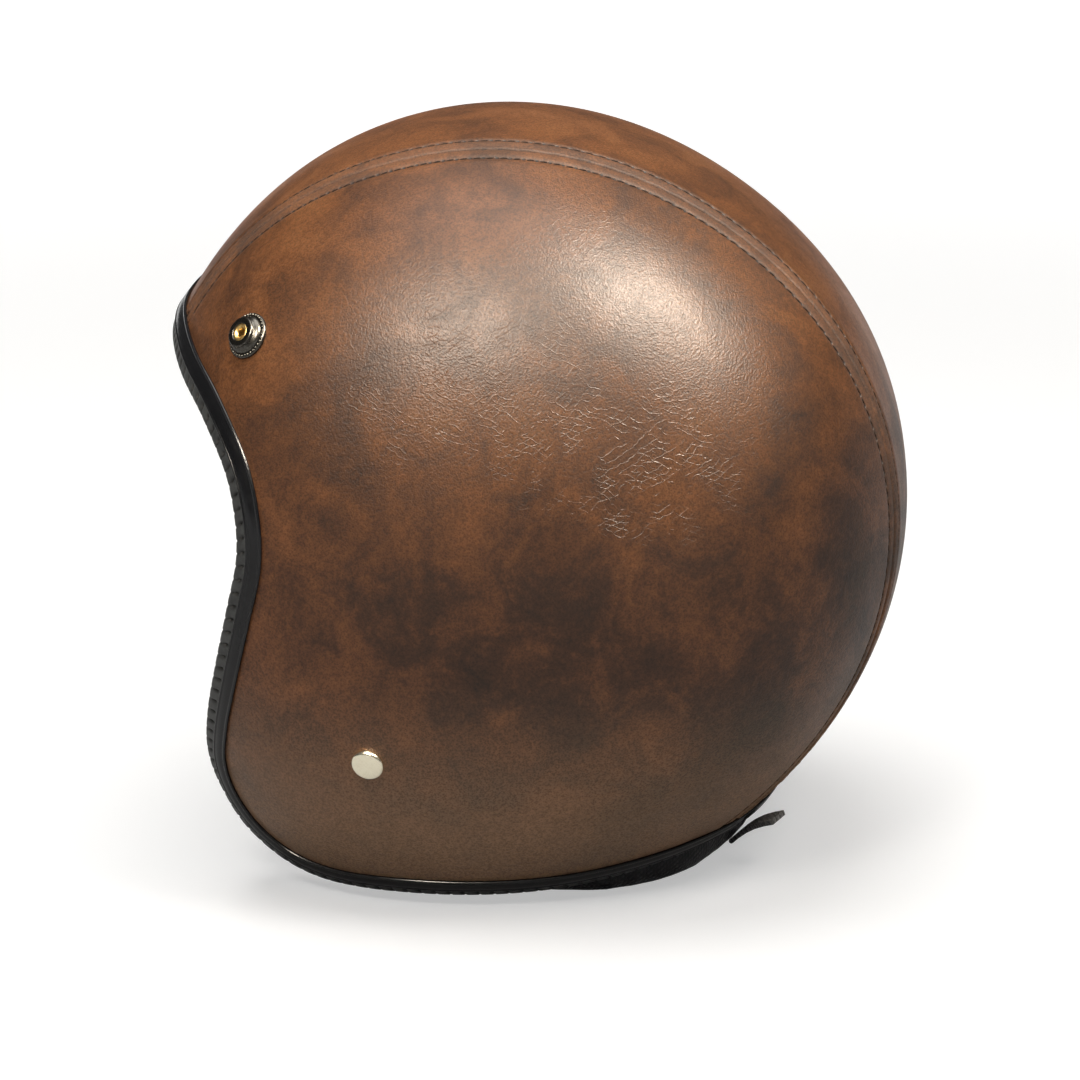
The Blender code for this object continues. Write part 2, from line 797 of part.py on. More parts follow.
# Highest point of a piece under a round foot, measured along the way out of its surface
def rest(thing, point, way, foot):
    tree = BVHTree.FromPolygons([v.co for v in thing.data.vertices], [f.vertices[:] for f in thing.data.polygons])
    side = way.orthogonal().normalized()
    heights = []
    for spread in (0.0, foot / 2.0, foot):
        for k in range(turn_steps):
            turn = 2.0 * math.pi * k / turn_steps
            around = (side * math.cos(turn) + way.cross(side) * math.sin(turn)) * spread
            spot = tree.ray_cast(point + around + way * foam_thickness, -way)[0]
            heights.append((spot - point).dot(way))
    return max(heights)


def stand(thing, point, way):
    thing.location = point
    thing.rotation_euler = way.to_track_quat("Z", "Y").to_euler()
    return thing


def turned(name, profile, look, home=None):
    mesh = bpy.data.meshes.new(name)
    closed = profile[0][0] > 0.0 and profile[-1][0] > 0.0
    edges = [(i, i + 1) for i in range(len(profile) - 1)]
    if closed:
        edges.append((len(profile) - 1, 0))
    mesh.from_pydata([(r, 0.0, h) for r, h in profile], edges, [])
    thing = link(bpy.data.objects.new(name, mesh), name, look, home)
    turn = thing.modifiers.new("turn", "SCREW")
    turn.axis = "Z"
    turn.angle = 2.0 * math.pi
    turn.steps = turn_steps
    turn.render_steps = turn_steps
    turn.use_merge_vertices = True
    turn.merge_threshold = clearance / 30.0
    turn.use_smooth_shade = True
    return thing


def drill(name, point, way, radius, shallow, deep):
    hole = turned(name, [(0.0, -shallow), (radius, -shallow), (radius, -deep), (0.0, -deep)], None, cutters)
    hole.hide_render = True
    hole.display_type = "WIRE"
    return stand(hole, point, way)


# Brow snaps: knurled base ring, hollow stud and the brass eyelet that holds them
world_shift = Vector((0.0, ear_setback, ear_height))
snap_angle = math.radians(snap_height_angle)
snap_radius = column_radius(snap_angle, snap_across)
for side, word in ((1.0, "left"), (-1.0, "right")):
    spot = Vector((side * snap_across, snap_radius * math.cos(snap_angle), snap_radius * math.sin(snap_angle)))
    way = normal(spot)
    spot += world_shift
    leather_piece = leather_panels["leather_" + word]
    ring_low = rest(leather_piece, spot, way, snap_ring_radius) + snap_seat
    ring_top = ring_low + snap_ring_height
    stand(turned("snap_ring_" + word, [
        (snap_hole, ring_top), (snap_ring_radius - snap_ring_height / 2.0, ring_top),
        (snap_ring_radius, ring_low + snap_ring_height / 2.0), (snap_ring_radius - snap_ring_height / 4.0, ring_low),
        (snap_hole, ring_low)], nickel), spot, way)
    stud_low = ring_top + snap_seat
    stud_top = ring_low + stud_height
    stand(turned("snap_stud_" + word, [
        (stud_bore, stud_top), (stud_cap_radius - snap_ring_height / 2.0, stud_top),
        (stud_cap_radius, stud_top - snap_ring_height / 2.0), (stud_neck_radius, stud_low + snap_ring_height),
        (stud_base_radius, stud_low + snap_ring_height / 3.0), (stud_base_radius, stud_low),
        (stud_bore, stud_low)], nickel), spot, way)
    flange_back = rest(shell, spot, -way, eyelet_flange) + snap_seat
    eyelet_top = stud_top - clearance
    stand(turned("snap_eyelet_" + word, [
        (eyelet_bore, eyelet_top), (stud_bore - clearance, eyelet_top),
        (stud_bore - clearance, eyelet_top - eyelet_flange_height), (eyelet_radius, stud_low),
        (eyelet_radius, -flange_back), (eyelet_flange, -flange_back),
        (eyelet_flange, -flange_back - eyelet_flange_height), (eyelet_bore, -flange_back - eyelet_flange_height)],
        brass_look), spot, way)
    cut(leather_piece, drill("snap_leather_hole_" + word, spot, way, snap_hole, -stud_height, shell_back))
    cut(shell, drill("snap_shell_hole_" + word, spot, way, snap_hole, 0.0, foam_back))


# Flat webbing: each station is a middle point, the way across the width and the way through the thickness.
# A band that turns about its first station has that end rounded about it.
def band(name, stations, width, thickness, look, round_end=False):
    work = bmesh.new()
    rows = []
    if round_end:
        point, across, through = stations[0]
        back = (stations[0][0] - stations[1][0]).normalized() * thickness / 2.0
        stations = [(point + back * a, across, through * b) for a, b in end_shares] + list(stations)
    for point, across, through in stations:
        row = []
        for a, b in ((-1.0, -1.0), (1.0, -1.0), (1.0, 1.0), (-1.0, 1.0)):
            row.append(work.verts.new(point + across * a * width / 2.0 + through * b * thickness / 2.0))
        rows.append(row)
    for a, b in zip(rows[:-1], rows[1:]):
        for i in range(4):
            j = (i + 1) % 4
            work.faces.new((a[i], a[j], b[j], b[i]))
    work.faces.new(rows[0])
    work.faces.new(list(reversed(rows[-1])))
    return finish(work, name, look)


# Origin of a moving piece set on its hinge
def hinge_at(thing, point):
    thing.data.transform(Matrix.Translation(-point))
    thing.location = point
    return thing


def path_stations(points, across):
    made = []
    for i, point in enumerate(points):
        along = points[min(i + 1, len(points) - 1)] - points[max(i - 1, 0)]
        made.append((point, across, across.cross(along).normalized()))
    return made


# Shell edge under the rivet
lower_line = [p for p in opening_line if p[1] < rivet_drop and p[0] > opening_size * opening_shares[13][0]]
lower_y = [p[0] for p in lower_line]
rim_drop = float(np.interp(rivet_back, lower_y, [p[1] for p in lower_line]))


def strap_rim(side):
    point = lift(rivet_back, rim_drop)
    ahead = lift(rivet_back + clearance, float(np.interp(rivet_back + clearance, lower_y, [p[1] for p in lower_line])))
    way = normal(point)
    out = (ahead - point).cross(way).normalized()
    if out.z > 0.0:
        out.negate()
    return (Vector((side * v.x, v.y, v.z)) for v in (point, way, out))


across_y = Vector((0.0, 1.0, 0.0))
for side, word in ((1.0, "left"), (-1.0, "right")):
    spot = lift(rivet_back, rivet_drop)
    spot.x *= side
    way = normal(spot)
    spot += world_shift
    head_low = rest(leather_panels["leather_" + word], spot, way, rivet_radius) + snap_seat
    tail_top = strap_centre_depth + strap_thickness / 2.0 + washer_height + 3.0 * snap_seat
    stand(turned("rivet_" + word, [
        (0.0, head_low + rivet_head), (rivet_radius * 0.7, head_low + rivet_head * 0.8),
        (rivet_radius, head_low + rivet_head / 3.0), (rivet_radius, head_low), (rivet_shank, head_low),
        (rivet_shank, -tail_top), (rivet_tail_radius, -tail_top),
        (rivet_tail_radius, -tail_top - rivet_tail_height), (0.0, -tail_top - rivet_tail_height)], gold), spot, way)
    washer_top = strap_centre_depth + strap_thickness / 2.0 + 2.0 * snap_seat
    stand(turned("rivet_washer_" + word, [
        (rivet_hole, -washer_top), (washer_radius, -washer_top), (washer_radius, -washer_top - washer_height),
        (rivet_hole, -washer_top - washer_height)], steel_look), spot, way)
    cut(leather_panels["leather_" + word],
        drill("rivet_leather_hole_" + word, spot, way, rivet_hole, -rivet_head, shell_back))
    cut(shell, drill("rivet_shell_hole_" + word, spot, way, rivet_hole, 0.0, foam_back))
    rim_point, rim_way, rim_out = strap_rim(side)
    stations = []
    top_level = rivet_drop + strap_top_rise
    for k in range(9):
        share = k / 8.0
        z = top_level + (rim_drop - top_level) * share
        point = lift(rivet_back, z)
        point.x *= side
        through = normal(point)
        ease = max(0.0, share - 0.5) * 2.0
        depth = strap_centre_depth + (strap_exit_depth - strap_centre_depth) * ease
        stations.append((point - through * depth + world_shift, through))
    stations.append((rim_point + rim_out * strap_exit_reach - rim_way * strap_exit_depth + world_shift, rim_way))
    made = []
    for i, (point, through) in enumerate(stations):
        along = stations[min(i + 1, len(stations) - 1)][0] - stations[max(i - 1, 0)][0]
        across = along.cross(through).normalized()
        if point is stations[-1][0]:
            across = across_y if across.y > 0.0 else -across_y
        made.append((point, across, across.cross(along).normalized()))
    anchor = band("strap_anchor_" + word, made, strap_width, strap_thickness, webbing_look)
    cut(anchor, drill("rivet_strap_hole_" + word, spot, way, rivet_hole, 0.0, foam_back))
    axis = rim_point + rim_out * (strap_exit_reach + strap_axis_gap) - rim_way * strap_exit_depth + world_shift
    run = Vector((-side * math.cos(strap_rise), 0.0, math.sin(strap_rise)))
    rise = Vector((side * math.sin(strap_rise), 0.0, math.cos(strap_rise)))

    def strap_point(u, w):
        return axis + run * u + rise * w

    strap_length = (abs(axis.x) - (ring_from_middle if word == "left" else tail_from_middle)) / math.cos(strap_rise)
    pad_low = strap_thickness / 2.0 + clearance
    pad_mid = pad_low + strap_pad_height / 2.0
    pad_end = strap_pad_start + strap_length * strap_pad_share
    pad = band("strap_pad_" + word, path_stations([strap_point(strap_pad_start, pad_mid),
                                                   strap_point(pad_end, pad_mid)], across_y),
               strap_pad_width, strap_pad_height, cloth)
    hinge_at(pad, axis)
    if word == "left":
        eye_height = 2.0 * ring_bar_spacing + 2.0 * ring_slack + strap_thickness
        eye = eye_height / 2.0
        path = [strap_point(0.0, 0.0), strap_point(strap_length * 0.5, 0.0), strap_point(strap_length, 0.0)]
        for k in range(1, 7):
            turn = math.pi * k / 6.0
            path.append(strap_point(strap_length + eye * math.sin(turn), -eye + eye * math.cos(turn)))
        under = strap_thickness + clearance
        path.append(strap_point(strap_length - eye, -eye_height))
        path.append(strap_point(strap_length - eye * strap_lean_share, -under))
        path.append(strap_point(strap_length * (1.0 - strap_return_share), -under))
        hinge_at(band("strap_left", path_stations(path, across_y), strap_width, strap_thickness, webbing_look, True),
                 axis)
        first_bar = strap_thickness / 2.0 + ring_slack + ring_wire
        for level_word, w in (("upper", first_bar), ("lower", first_bar + ring_bar_spacing)):
            bar = strap_point(strap_length, -w)
            outline = []
            for k in range(13):
                turn = -math.pi / 2.0 + math.pi * k / 12.0
                outline.append((ring_bar_half * math.sin(turn),
                                (ring_reach - ring_bar_half) + ring_bar_half * math.cos(turn)))
            outline.append((ring_bar_half, 0.0))
            outline.insert(0, (-ring_bar_half, 0.0))
            curve = bpy.data.curves.new("d_ring_" + level_word, "CURVE")
            curve.dimensions = "3D"
            curve.bevel_depth = ring_wire
            curve.bevel_resolution = 1
            line = curve.splines.new("POLY")
            line.points.add(len(outline) - 1)
            for point, (y, u) in zip(line.points, outline):
                point.co = (*(across_y * y + run * u), 1.0)
            line.use_cyclic_u = True
            ring = link(bpy.data.objects.new("d_ring_" + level_word, curve), "d_ring_" + level_word, steel_look)
            ring.location = bar
    else:
        path = [strap_point(0.0, 0.0), strap_point(strap_length, 0.0)]
        hinge_at(band("strap_right", path_stations(path, across_y), strap_width, strap_thickness, webbing_look, True),
                 axis)
        under = strap_thickness + clearance
        tail_length = strap_length * tail_share
        path = [strap_point(strap_length, -under), strap_point(strap_length - tail_length, -under)]
        hinge_at(band("strap_tail", path_stations(path, across_y), strap_width, strap_thickness, webbing_look),
                 strap_point(strap_length, -under / 2.0))
        cap = turned("tail_snap_cap", [(0.0, tail_cap_height), (tail_cap_radius * 0.7, tail_cap_height),
                                       (tail_cap_radius, tail_cap_height / 2.0), (tail_cap_radius, 0.0), (0.0, 0.0)],
                     nickel)
        cap.location = strap_point(strap_length - tail_length + strap_width / 2.0,
                                   -under - strap_thickness / 2.0 - clearance)
        cap.rotation_euler = (-rise).to_track_quat("Z", "Y").to_euler()


# Tab at the rear rim
after = next(k for k in range(left_count) if rim_points[k].y > 0.0 and rim_points[k].x < tab_across)
near_share = (rim_points[after - 1].x - tab_across) / (rim_points[after - 1].x - rim_points[after].x)
tab_point, tab_side, tab_way = (a.lerp(b, near_share) for a, b in zip(rim_frames[after - 1], rim_frames[after]))
tab_side.normalize()
tab_along = (rim_points[after] - rim_points[after - 1]).normalized()
tab_path = [tab_point + tab_side * a * tab_size - tab_way * b * tab_size + world_shift for a, b in tab_shares]
hinge_at(band("rear_tab", path_stations(tab_path, tab_along), tab_width, tab_thickness, webbing_look, True),
         tab_path[0])
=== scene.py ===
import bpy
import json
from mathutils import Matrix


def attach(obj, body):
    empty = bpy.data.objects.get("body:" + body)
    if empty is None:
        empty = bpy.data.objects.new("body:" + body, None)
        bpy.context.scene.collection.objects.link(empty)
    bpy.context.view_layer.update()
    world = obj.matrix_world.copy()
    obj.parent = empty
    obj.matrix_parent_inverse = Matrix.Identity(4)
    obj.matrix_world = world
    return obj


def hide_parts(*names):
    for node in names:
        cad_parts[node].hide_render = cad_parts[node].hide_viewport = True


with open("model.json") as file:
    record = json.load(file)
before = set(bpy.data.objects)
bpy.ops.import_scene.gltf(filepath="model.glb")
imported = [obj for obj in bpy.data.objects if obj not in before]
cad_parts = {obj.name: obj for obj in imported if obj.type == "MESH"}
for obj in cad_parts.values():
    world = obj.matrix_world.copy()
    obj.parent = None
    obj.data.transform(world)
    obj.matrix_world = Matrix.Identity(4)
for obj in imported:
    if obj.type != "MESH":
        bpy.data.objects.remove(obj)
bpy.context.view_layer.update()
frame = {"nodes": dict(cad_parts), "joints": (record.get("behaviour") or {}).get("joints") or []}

import json
import math

import bmesh
import bpy
import numpy as np
from mathutils import Matrix, Vector

bpy.ops.object.select_all(action="DESELECT")


# Shell: a hand-laid fibre composite bowl under everything else, trimmed along the face and neck.
# It shows only as a dull grey edge inside the rubber trim, so it keeps its own form and gets a
# resin finish with the weave of the cloth just telling through.

def feed(tree, sockets, inputs):
    for key, value in inputs.items():
        if isinstance(value, bpy.types.NodeSocket):
            tree.links.new(value, sockets[key])
        else:
            sockets[key].default_value = value


def put(tree, kind, inputs=None, **settings):
    made = tree.nodes.new("ShaderNode" + kind)
    for key, value in settings.items():
        setattr(made, key, value)
    feed(tree, made.inputs, inputs or {})
    return made


def sums(tree, operation, *values):
    return put(tree, "Math", dict(enumerate(values)), operation=operation).outputs[0]


def times(tree, first, second):
    return sums(tree, "MULTIPLY", first, second)


def scaled(tree, vector, factor):
    return put(tree, "VectorMath", {0: vector, 3: factor}, operation="SCALE").outputs[0]


def here(tree):
    return put(tree, "TexCoord").outputs["Object"]


def clouds(tree, place, scale, detail=2.0, roughness=0.5, distortion=0.0):
    return put(tree, "TexNoise", {"Vector": place, "Scale": scale, "Detail": detail, "Roughness": roughness,
                                  "Distortion": distortion}).outputs["Fac"]


def spread(tree, value, low, high, to_low=0.0, to_high=1.0):
    return put(tree, "MapRange", {"Value": value, "From Min": low, "From Max": high, "To Min": to_low,
                                  "To Max": to_high}, interpolation_type="SMOOTHSTEP").outputs["Result"]


def tones(tree, factor, stops):
    made = put(tree, "ValToRGB", {"Fac": factor})
    strip = made.color_ramp
    strip.elements.remove(strip.elements[-1])
    strip.elements[0].position = stops[0][0]
    strip.elements[0].color = (*stops[0][1], 1.0)
    for place, colour in stops[1:]:
        strip.elements.new(place).color = (*colour, 1.0)
    return made.outputs["Color"]


def start_look(name, colour, roughness, metallic=0.0):
    look = bpy.data.materials.new(name)
    look.use_nodes = True
    tree = look.node_tree
    shader = tree.nodes["Principled BSDF"]
    feed(tree, shader.inputs, {"Base Color": (*colour, 1.0), "Roughness": roughness, "Metallic": metallic})
    return look, tree, shader


def raise_by(tree, shader, height, distance, strength=1.0):
    bump = put(tree, "Bump", {"Height": height, "Distance": distance, "Strength": strength})
    feed(tree, shader.inputs, {"Normal": bump.outputs["Normal"]})


def start_group(name, inputs, outputs):
    tree = bpy.data.node_groups.new(name, "ShaderNodeTree")
    for kind, label, value in inputs:
        socket = tree.interface.new_socket(label, in_out="INPUT", socket_type="NodeSocket" + kind)
        if value is not None:
            socket.default_value = value
    for kind, label in outputs:
        tree.interface.new_socket(label, in_out="OUTPUT", socket_type="NodeSocket" + kind)
    return tree, tree.nodes.new("NodeGroupInput").outputs, tree.nodes.new("NodeGroupOutput").inputs


def use_group(tree, group, inputs):
    made = tree.nodes.new("ShaderNodeGroup")
    made.node_tree = group
    feed(tree, made.inputs, inputs)
    return made.outputs


# Woven cloth read from object coordinates, for fabric, lining and the glass cloth in the shell
weave, given, gives = start_group("weave", [("Vector", "Place", None), ("Float", "Count", 900.0)],
                                  [("Float", "Height"), ("Float", "Shade")])
axes = put(weave, "SeparateXYZ", {0: scaled(weave, given["Place"], given["Count"])}).outputs
ribs = [sums(weave, "SINE", axis) for axis in axes]
cross = sums(weave, "MULTIPLY_ADD", ribs[0], ribs[1], times(weave, ribs[1], ribs[2]))
cross = sums(weave, "MULTIPLY_ADD", ribs[0], ribs[2], cross)
fuzz = clouds(weave, given["Place"], 2600.0, 2.0)
feed(weave, gives, {"Height": sums(weave, "MULTIPLY_ADD", cross, 0.3, fuzz),
                    "Shade": spread(weave, cross, -1.0, 1.4, 0.72, 1.12)})

shell_look, tree, shader = start_look("shell_composite", (0.11, 0.11, 0.112), 0.5)
place = here(tree)
cloth = use_group(tree, weave, {"Place": place, "Count": 1600.0})
resin = clouds(tree, place, 60.0, 4.0)
resin_tones = [(0.3, (0.07, 0.07, 0.072)), (0.7, (0.15, 0.15, 0.15))]
feed(tree, shader.inputs, {"Base Color": tones(tree, resin, resin_tones)})
raise_by(tree, shader, cloth["Height"], 0.0002, 0.5)


def wear_look(node, look):
    piece = frame["nodes"][node]
    piece.data.materials.clear()
    piece.data.materials.append(look)


wear_look("shell", shell_look)


# Leather covering: three panels of waxed, mottled brown hide, stretched wet over the shell and
# glued. Side panels and crown panel are folded under along two seams, and each seam is
# topstitched through the folded edge on both sides.

half_width = 0.1214
ear = Vector((0.0, -0.0013, 0.1170))
profile_size = 0.1432
profile_shares = (0.897, 0.926, 0.950, 1.000, 1.029, 1.007, 0.973, 1.017, 1.073, 0.993, 0.895, 0.870)
opening_size = 0.110
opening_shares = (
    (-1.210, 0.768), (-1.155, 0.723), (-1.086, 0.675), (-1.023, 0.614), (-0.932, 0.521), (-0.844, 0.377),
    (-0.805, 0.236), (-0.800, 0.086), (-0.840, -0.091), (-0.888, -0.280), (-0.933, -0.464), (-0.951, -0.609),
    (-0.923, -0.745), (-0.850, -0.868), (-0.732, -0.959), (-0.582, -0.998), (-0.364, -1.0), (-0.091, -1.0),
    (0.127, -0.987), (0.327, -0.955), (0.527, -0.913), (0.691, -0.873), (0.836, -0.827), (0.960, -0.790),
)
disc_centre = Vector((0.0198, 0.0154))
seam_offset = 0.0475
seam_brow_offset = 0.0410
leather_thickness = 0.0012
panel_gap = 0.0011
stitch_row = 0.0063
stitch_pitch = 0.00383

radii = np.array(profile_shares) * profile_size
turn = 2.0 * math.pi / len(radii)
bends = np.linalg.solve(np.diag([4.0] * 12) + np.roll(np.eye(12), 1, 0) + np.roll(np.eye(12), -1, 0),
                        6.0 * (np.roll(radii, -1) - 2.0 * radii + np.roll(radii, 1)) / turn ** 2)


def profile_radius(angle):
    share = (angle % (2.0 * math.pi)) / turn
    i = int(share) % 12
    j = (i + 1) % 12
    u = share - int(share)
    v = 1.0 - u
    bend = (bends[i] * (v ** 3 - v) + bends[j] * (u ** 3 - u)) * turn ** 2 / 6.0
    return float(radii[i] * v + radii[j] * u + bend)


def fullness(angle):
    return 2.476 - 0.415 * max(0.0, -math.sin(angle)) ** 2


def column_radius(angle, across):
    p = fullness(angle)
    return profile_radius(angle) * (1.0 - min(abs(across) / half_width, 1.0) ** p) ** (1.0 / p)


def lift(y, z):
    angle = math.atan2(z, y)
    p = fullness(angle)
    share = min(math.hypot(y, z) / profile_radius(angle), 1.0)
    return Vector((half_width * (1.0 - share ** p) ** (1.0 / p), y, z))


def level(x, y, z):
    angle = math.atan2(z, y)
    p = fullness(angle)
    return (math.hypot(y, z) / profile_radius(angle)) ** p + (abs(x) / half_width) ** p


def outward(point):
    x, y, z = point
    s = 0.0002
    return Vector((level(x + s, y, z) - level(x - s, y, z), level(x, y + s, z) - level(x, y - s, z),
                   level(x, y, z + s) - level(x, y, z - s))).normalized()


def seam_across(angle, shift):
    whole = angle % (2.0 * math.pi)
    u = min(max((whole - math.radians(105.0)) / math.radians(35.0), 0.0), 1.0)
    if whole > math.radians(200.0):
        u = 0.0
    return seam_offset + (seam_brow_offset - seam_offset) * u * u * (3.0 - 2.0 * u) + shift


def smooth_line(points, steps):
    line = []
    for i in range(1, len(points) - 2):
        a, b, c, d = (np.array(points[k]) for k in (i - 1, i, i + 1, i + 2))
        for k in range(steps):
            u = k / steps
            line.append(0.5 * (2.0 * b + (c - a) * u + (2.0 * a - 5.0 * b + 4.0 * c - d) * u ** 2
                               + (3.0 * b - a - 3.0 * c + d) * u ** 3))
    line.append(np.array(points[-2]))
    return line


opening_line = smooth_line([(y * opening_size, z * opening_size) for y, z in opening_shares], 24)


def crossing(shift, share, front):
    middle = len(opening_line) // 2
    walk = range(middle, 0, -1) if front else range(middle, len(opening_line) - 1)
    step = -1 if front else 1

    def miss(p):
        angle = math.atan2(p[1], p[0])
        return math.hypot(p[0], p[1]) - column_radius(angle, seam_across(angle, shift) * share)

    for i in walk:
        a, b = opening_line[i], opening_line[i + step]
        if miss(a) < 0.0 <= miss(b):
            low, high = 0.0, 1.0
            for _ in range(24):
                mid = 0.5 * (low + high)
                low, high = (mid, high) if miss(a + (b - a) * mid) < 0.0 else (low, mid)
            return a + (b - a) * low, i
    raise ValueError("the edge does not reach the column")


def angle_of(p):
    return math.atan2(p[1], p[0]) % (2.0 * math.pi)


def column(shift, share, spans):
    brow = angle_of(crossing(shift, share, True)[0])
    nape = angle_of(crossing(shift, share, False)[0]) - 2.0 * math.pi
    run = []
    for k in range(spans + 1):
        angle = brow + (nape - brow) * k / spans
        across = seam_across(angle, shift) * share
        radius = column_radius(angle, across)
        run.append(Vector((across, radius * math.cos(angle), radius * math.sin(angle))))
    return run


def even_run(points, count):
    far = np.concatenate([[0.0], np.cumsum([(b - a).length for a, b in zip(points[:-1], points[1:])])])
    goals = np.linspace(0.0, far[-1], count)
    flat = np.array([tuple(p) for p in points])
    spots = [Vector([float(np.interp(goal, far, flat[:, c])) for c in range(3)]) for goal in goals]
    return spots, float(far[-1])


def puff(distance):
    # Height of the hide beside a seam: folded edge, band, stitched groove and the swell behind it
    heights = ((0.0, 0.10), (0.7, 0.16), (1.4, 0.10), (2.4, 0.30), (3.8, 0.40), (5.0, 0.32), (5.8, 0.04),
               (6.3, -0.16), (6.8, 0.0), (7.8, 0.26), (9.5, 0.24), (12.5, 0.08), (16.0, 0.0))
    return float(np.interp(distance * 1000.0, [a for a, _ in heights], [b for _, b in heights])) / 1000.0


def placed(name, data):
    piece = bpy.data.objects.new(name, data)
    bpy.context.scene.collection.objects.link(piece)
    return piece


def into_mesh(name, work, look, crease=None):
    bmesh.ops.recalc_face_normals(work, faces=work.faces)
    mesh = bpy.data.meshes.new(name)
    work.to_mesh(mesh)
    work.free()
    mesh.materials.append(look)
    mesh.shade_smooth()
    if crease is not None:
        mesh.set_sharp_from_angle(angle=math.radians(crease))
    return placed(name, mesh)


def use(piece):
    bpy.ops.object.select_all(action="DESELECT")
    piece.select_set(True)
    bpy.context.view_layer.objects.active = piece


def finish_with(piece, kind, **settings):
    use(piece)
    step = piece.modifiers.new(kind.lower(), kind)
    for key, value in settings.items():
        setattr(step, key, value)
    bpy.ops.object.modifier_apply(modifier=step.name)


def belongs(piece, body, slot, *nodes):
    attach(piece, body)
    if nodes:
        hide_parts(*nodes)


seam_spans = 320
seam_length = 0.425
band_steps = [panel_gap] + [0.001 * d for d in (
    1.5, 2.0, 2.6, 3.2, 3.9, 4.5, 5.0, 5.4, 5.7, 6.0, 6.3, 6.6, 6.9, 7.3, 7.9, 8.6, 9.5, 10.7, 12.3, 14.0,
    16.0)]
on_x = 0.954


def panel(name, columns, disc_side=None):
    work = bmesh.new()
    marks = work.verts.layers.float_vector.new("seam_place")
    step_length = seam_length / seam_spans
    rows = []
    for shift, share, distance in columns:
        row = []
        for k, point in enumerate(column(shift, share, seam_spans)):
            vert = work.verts.new(point + outward(point) * puff(distance) + ear)
            vert[marks] = Vector((k * step_length, distance, 0.0))
            row.append(vert)
        rows.append(row)
    for a, b in zip(rows[:-1], rows[1:]):
        for k in range(seam_spans):
            work.faces.new((a[k], a[k + 1], b[k + 1], b[k]))
    if disc_side is not None:
        shift = columns[-1][0]
        start, i = crossing(shift, 1.0, True)
        end, j = crossing(shift, 1.0, False)
        rim = [lift(*p) for p in [start] + [opening_line[k] for k in range(i, j + 1)] + [end]]
        rim, _ = even_run(rim, 261)
        border = [Vector((p.y, p.z)) for p in reversed(rim[1:-1])]
        seam = [Vector((p.y, p.z)) for p in column(shift, 1.0, seam_spans)]
        loop = seam + border
        inner = rows[-1] + [None] * len(border)
        rings = 34
        sweep = math.radians(72.0)
        for k in range(rings, 0, -1):
            share = math.sin(sweep * k / rings) / math.sin(sweep)
            ring = []
            for n, p in enumerate(loop):
                if k == rings and n <= seam_spans:
                    ring.append(rows[-1][n])
                    continue
                y, z = disc_centre + (p - disc_centre) * share
                point = lift(y, z)
                point.x *= disc_side
                vert = work.verts.new(point + ear)
                vert[marks] = Vector((0.0, 1.0, 0.0))
                ring.append(vert)
            if k < rings:
                for n in range(len(loop)):
                    m = (n + 1) % len(loop)
                    work.faces.new((inner[n], inner[m], ring[m], ring[n]))
            inner = ring
        point = lift(*disc_centre)
        point.x *= disc_side
        hub = work.verts.new(point + ear)
        hub[marks] = Vector((0.0, 1.0, 0.0))
        for n in range(len(loop)):
            work.faces.new((inner[n], inner[(n + 1) % len(loop)], hub))
    return work


# Small pebbled grain of a skin, with the fine creases that open where it was stretched
hide_grain, given, gives = start_group("hide_grain", [("Vector", "Place", None), ("Float", "Creases", 0.2)],
                                       [("Float", "Height"), ("Float", "Lines"), ("Float", "Tops")])
cells = put(hide_grain, "TexVoronoi", {"Vector": given["Place"], "Scale": 1500.0}).outputs["Distance"]
pores = clouds(hide_grain, given["Place"], 900.0, 5.0, 0.65)
wander = put(hide_grain, "TexNoise", {"Vector": given["Place"], "Scale": 130.0, "Detail": 3.0})
wander = scaled(hide_grain, wander.outputs["Color"], 0.0045)
moved = put(hide_grain, "VectorMath", {0: given["Place"], 1: wander}, operation="ADD").outputs[0]
lines = []
for way, spacing, bent in (((0.1, 0.42, 0.91), 0.0021, 3.6), ((-0.1, -0.57, 0.82), 0.0025, 4.0)):
    along = put(hide_grain, "VectorMath", {0: moved, 1: way}, operation="DOT_PRODUCT").outputs["Value"]
    sway = clouds(hide_grain, given["Place"], 66.0 + bent, 3.0, 0.55)
    phase = sums(hide_grain, "MULTIPLY_ADD", sway, bent, sums(hide_grain, "DIVIDE", along, spacing))
    ridge = sums(hide_grain, "ABSOLUTE", sums(hide_grain, "SUBTRACT", sums(hide_grain, "FRACT", phase), 0.5))
    breaks = clouds(hide_grain, given["Place"], 150.0 - bent * 6.0, 2.0)
    line = spread(hide_grain, ridge, 0.0, 0.105, 1.0, 0.0)
    lines.append(times(hide_grain, line, spread(hide_grain, breaks, 0.44, 0.56)))
folds = times(hide_grain, sums(hide_grain, "MAXIMUM", lines[0], lines[1]), given["Creases"])
ground = sums(hide_grain, "MULTIPLY_ADD", cells, 0.45, times(hide_grain, pores, 0.9))
feed(hide_grain, gives, {"Height": sums(hide_grain, "MULTIPLY_ADD", folds, 0.9, ground), "Lines": folds,
                         "Tops": spread(hide_grain, ground, 0.42, 0.86)})

leather_look, tree, shader = start_look("brown_leather", (0.17, 0.07, 0.033), 0.46)
place = here(tree)


def blend(tree, factor, under, over):
    return put(tree, "Mix", {"Factor": factor, 6: under, 7: over}, data_type="RGBA").outputs[2]


def mark(tree, name, output):
    return put(tree, "Attribute", attribute_name=name, attribute_type="GEOMETRY").outputs[output]


# Soft round patches added to a value: they carry the hide's mottle together with painted light and shade,
# and the weight of the creases
def soft_patches(spots, total=0.0):
    for centre, reach, amount in spots:
        far = put(tree, "VectorMath", {0: place, 1: centre}, operation="DISTANCE").outputs["Value"]
        total = sums(tree, "ADD", total, spread(tree, far, reach * 0.15, reach, amount, 0.0))
    return total


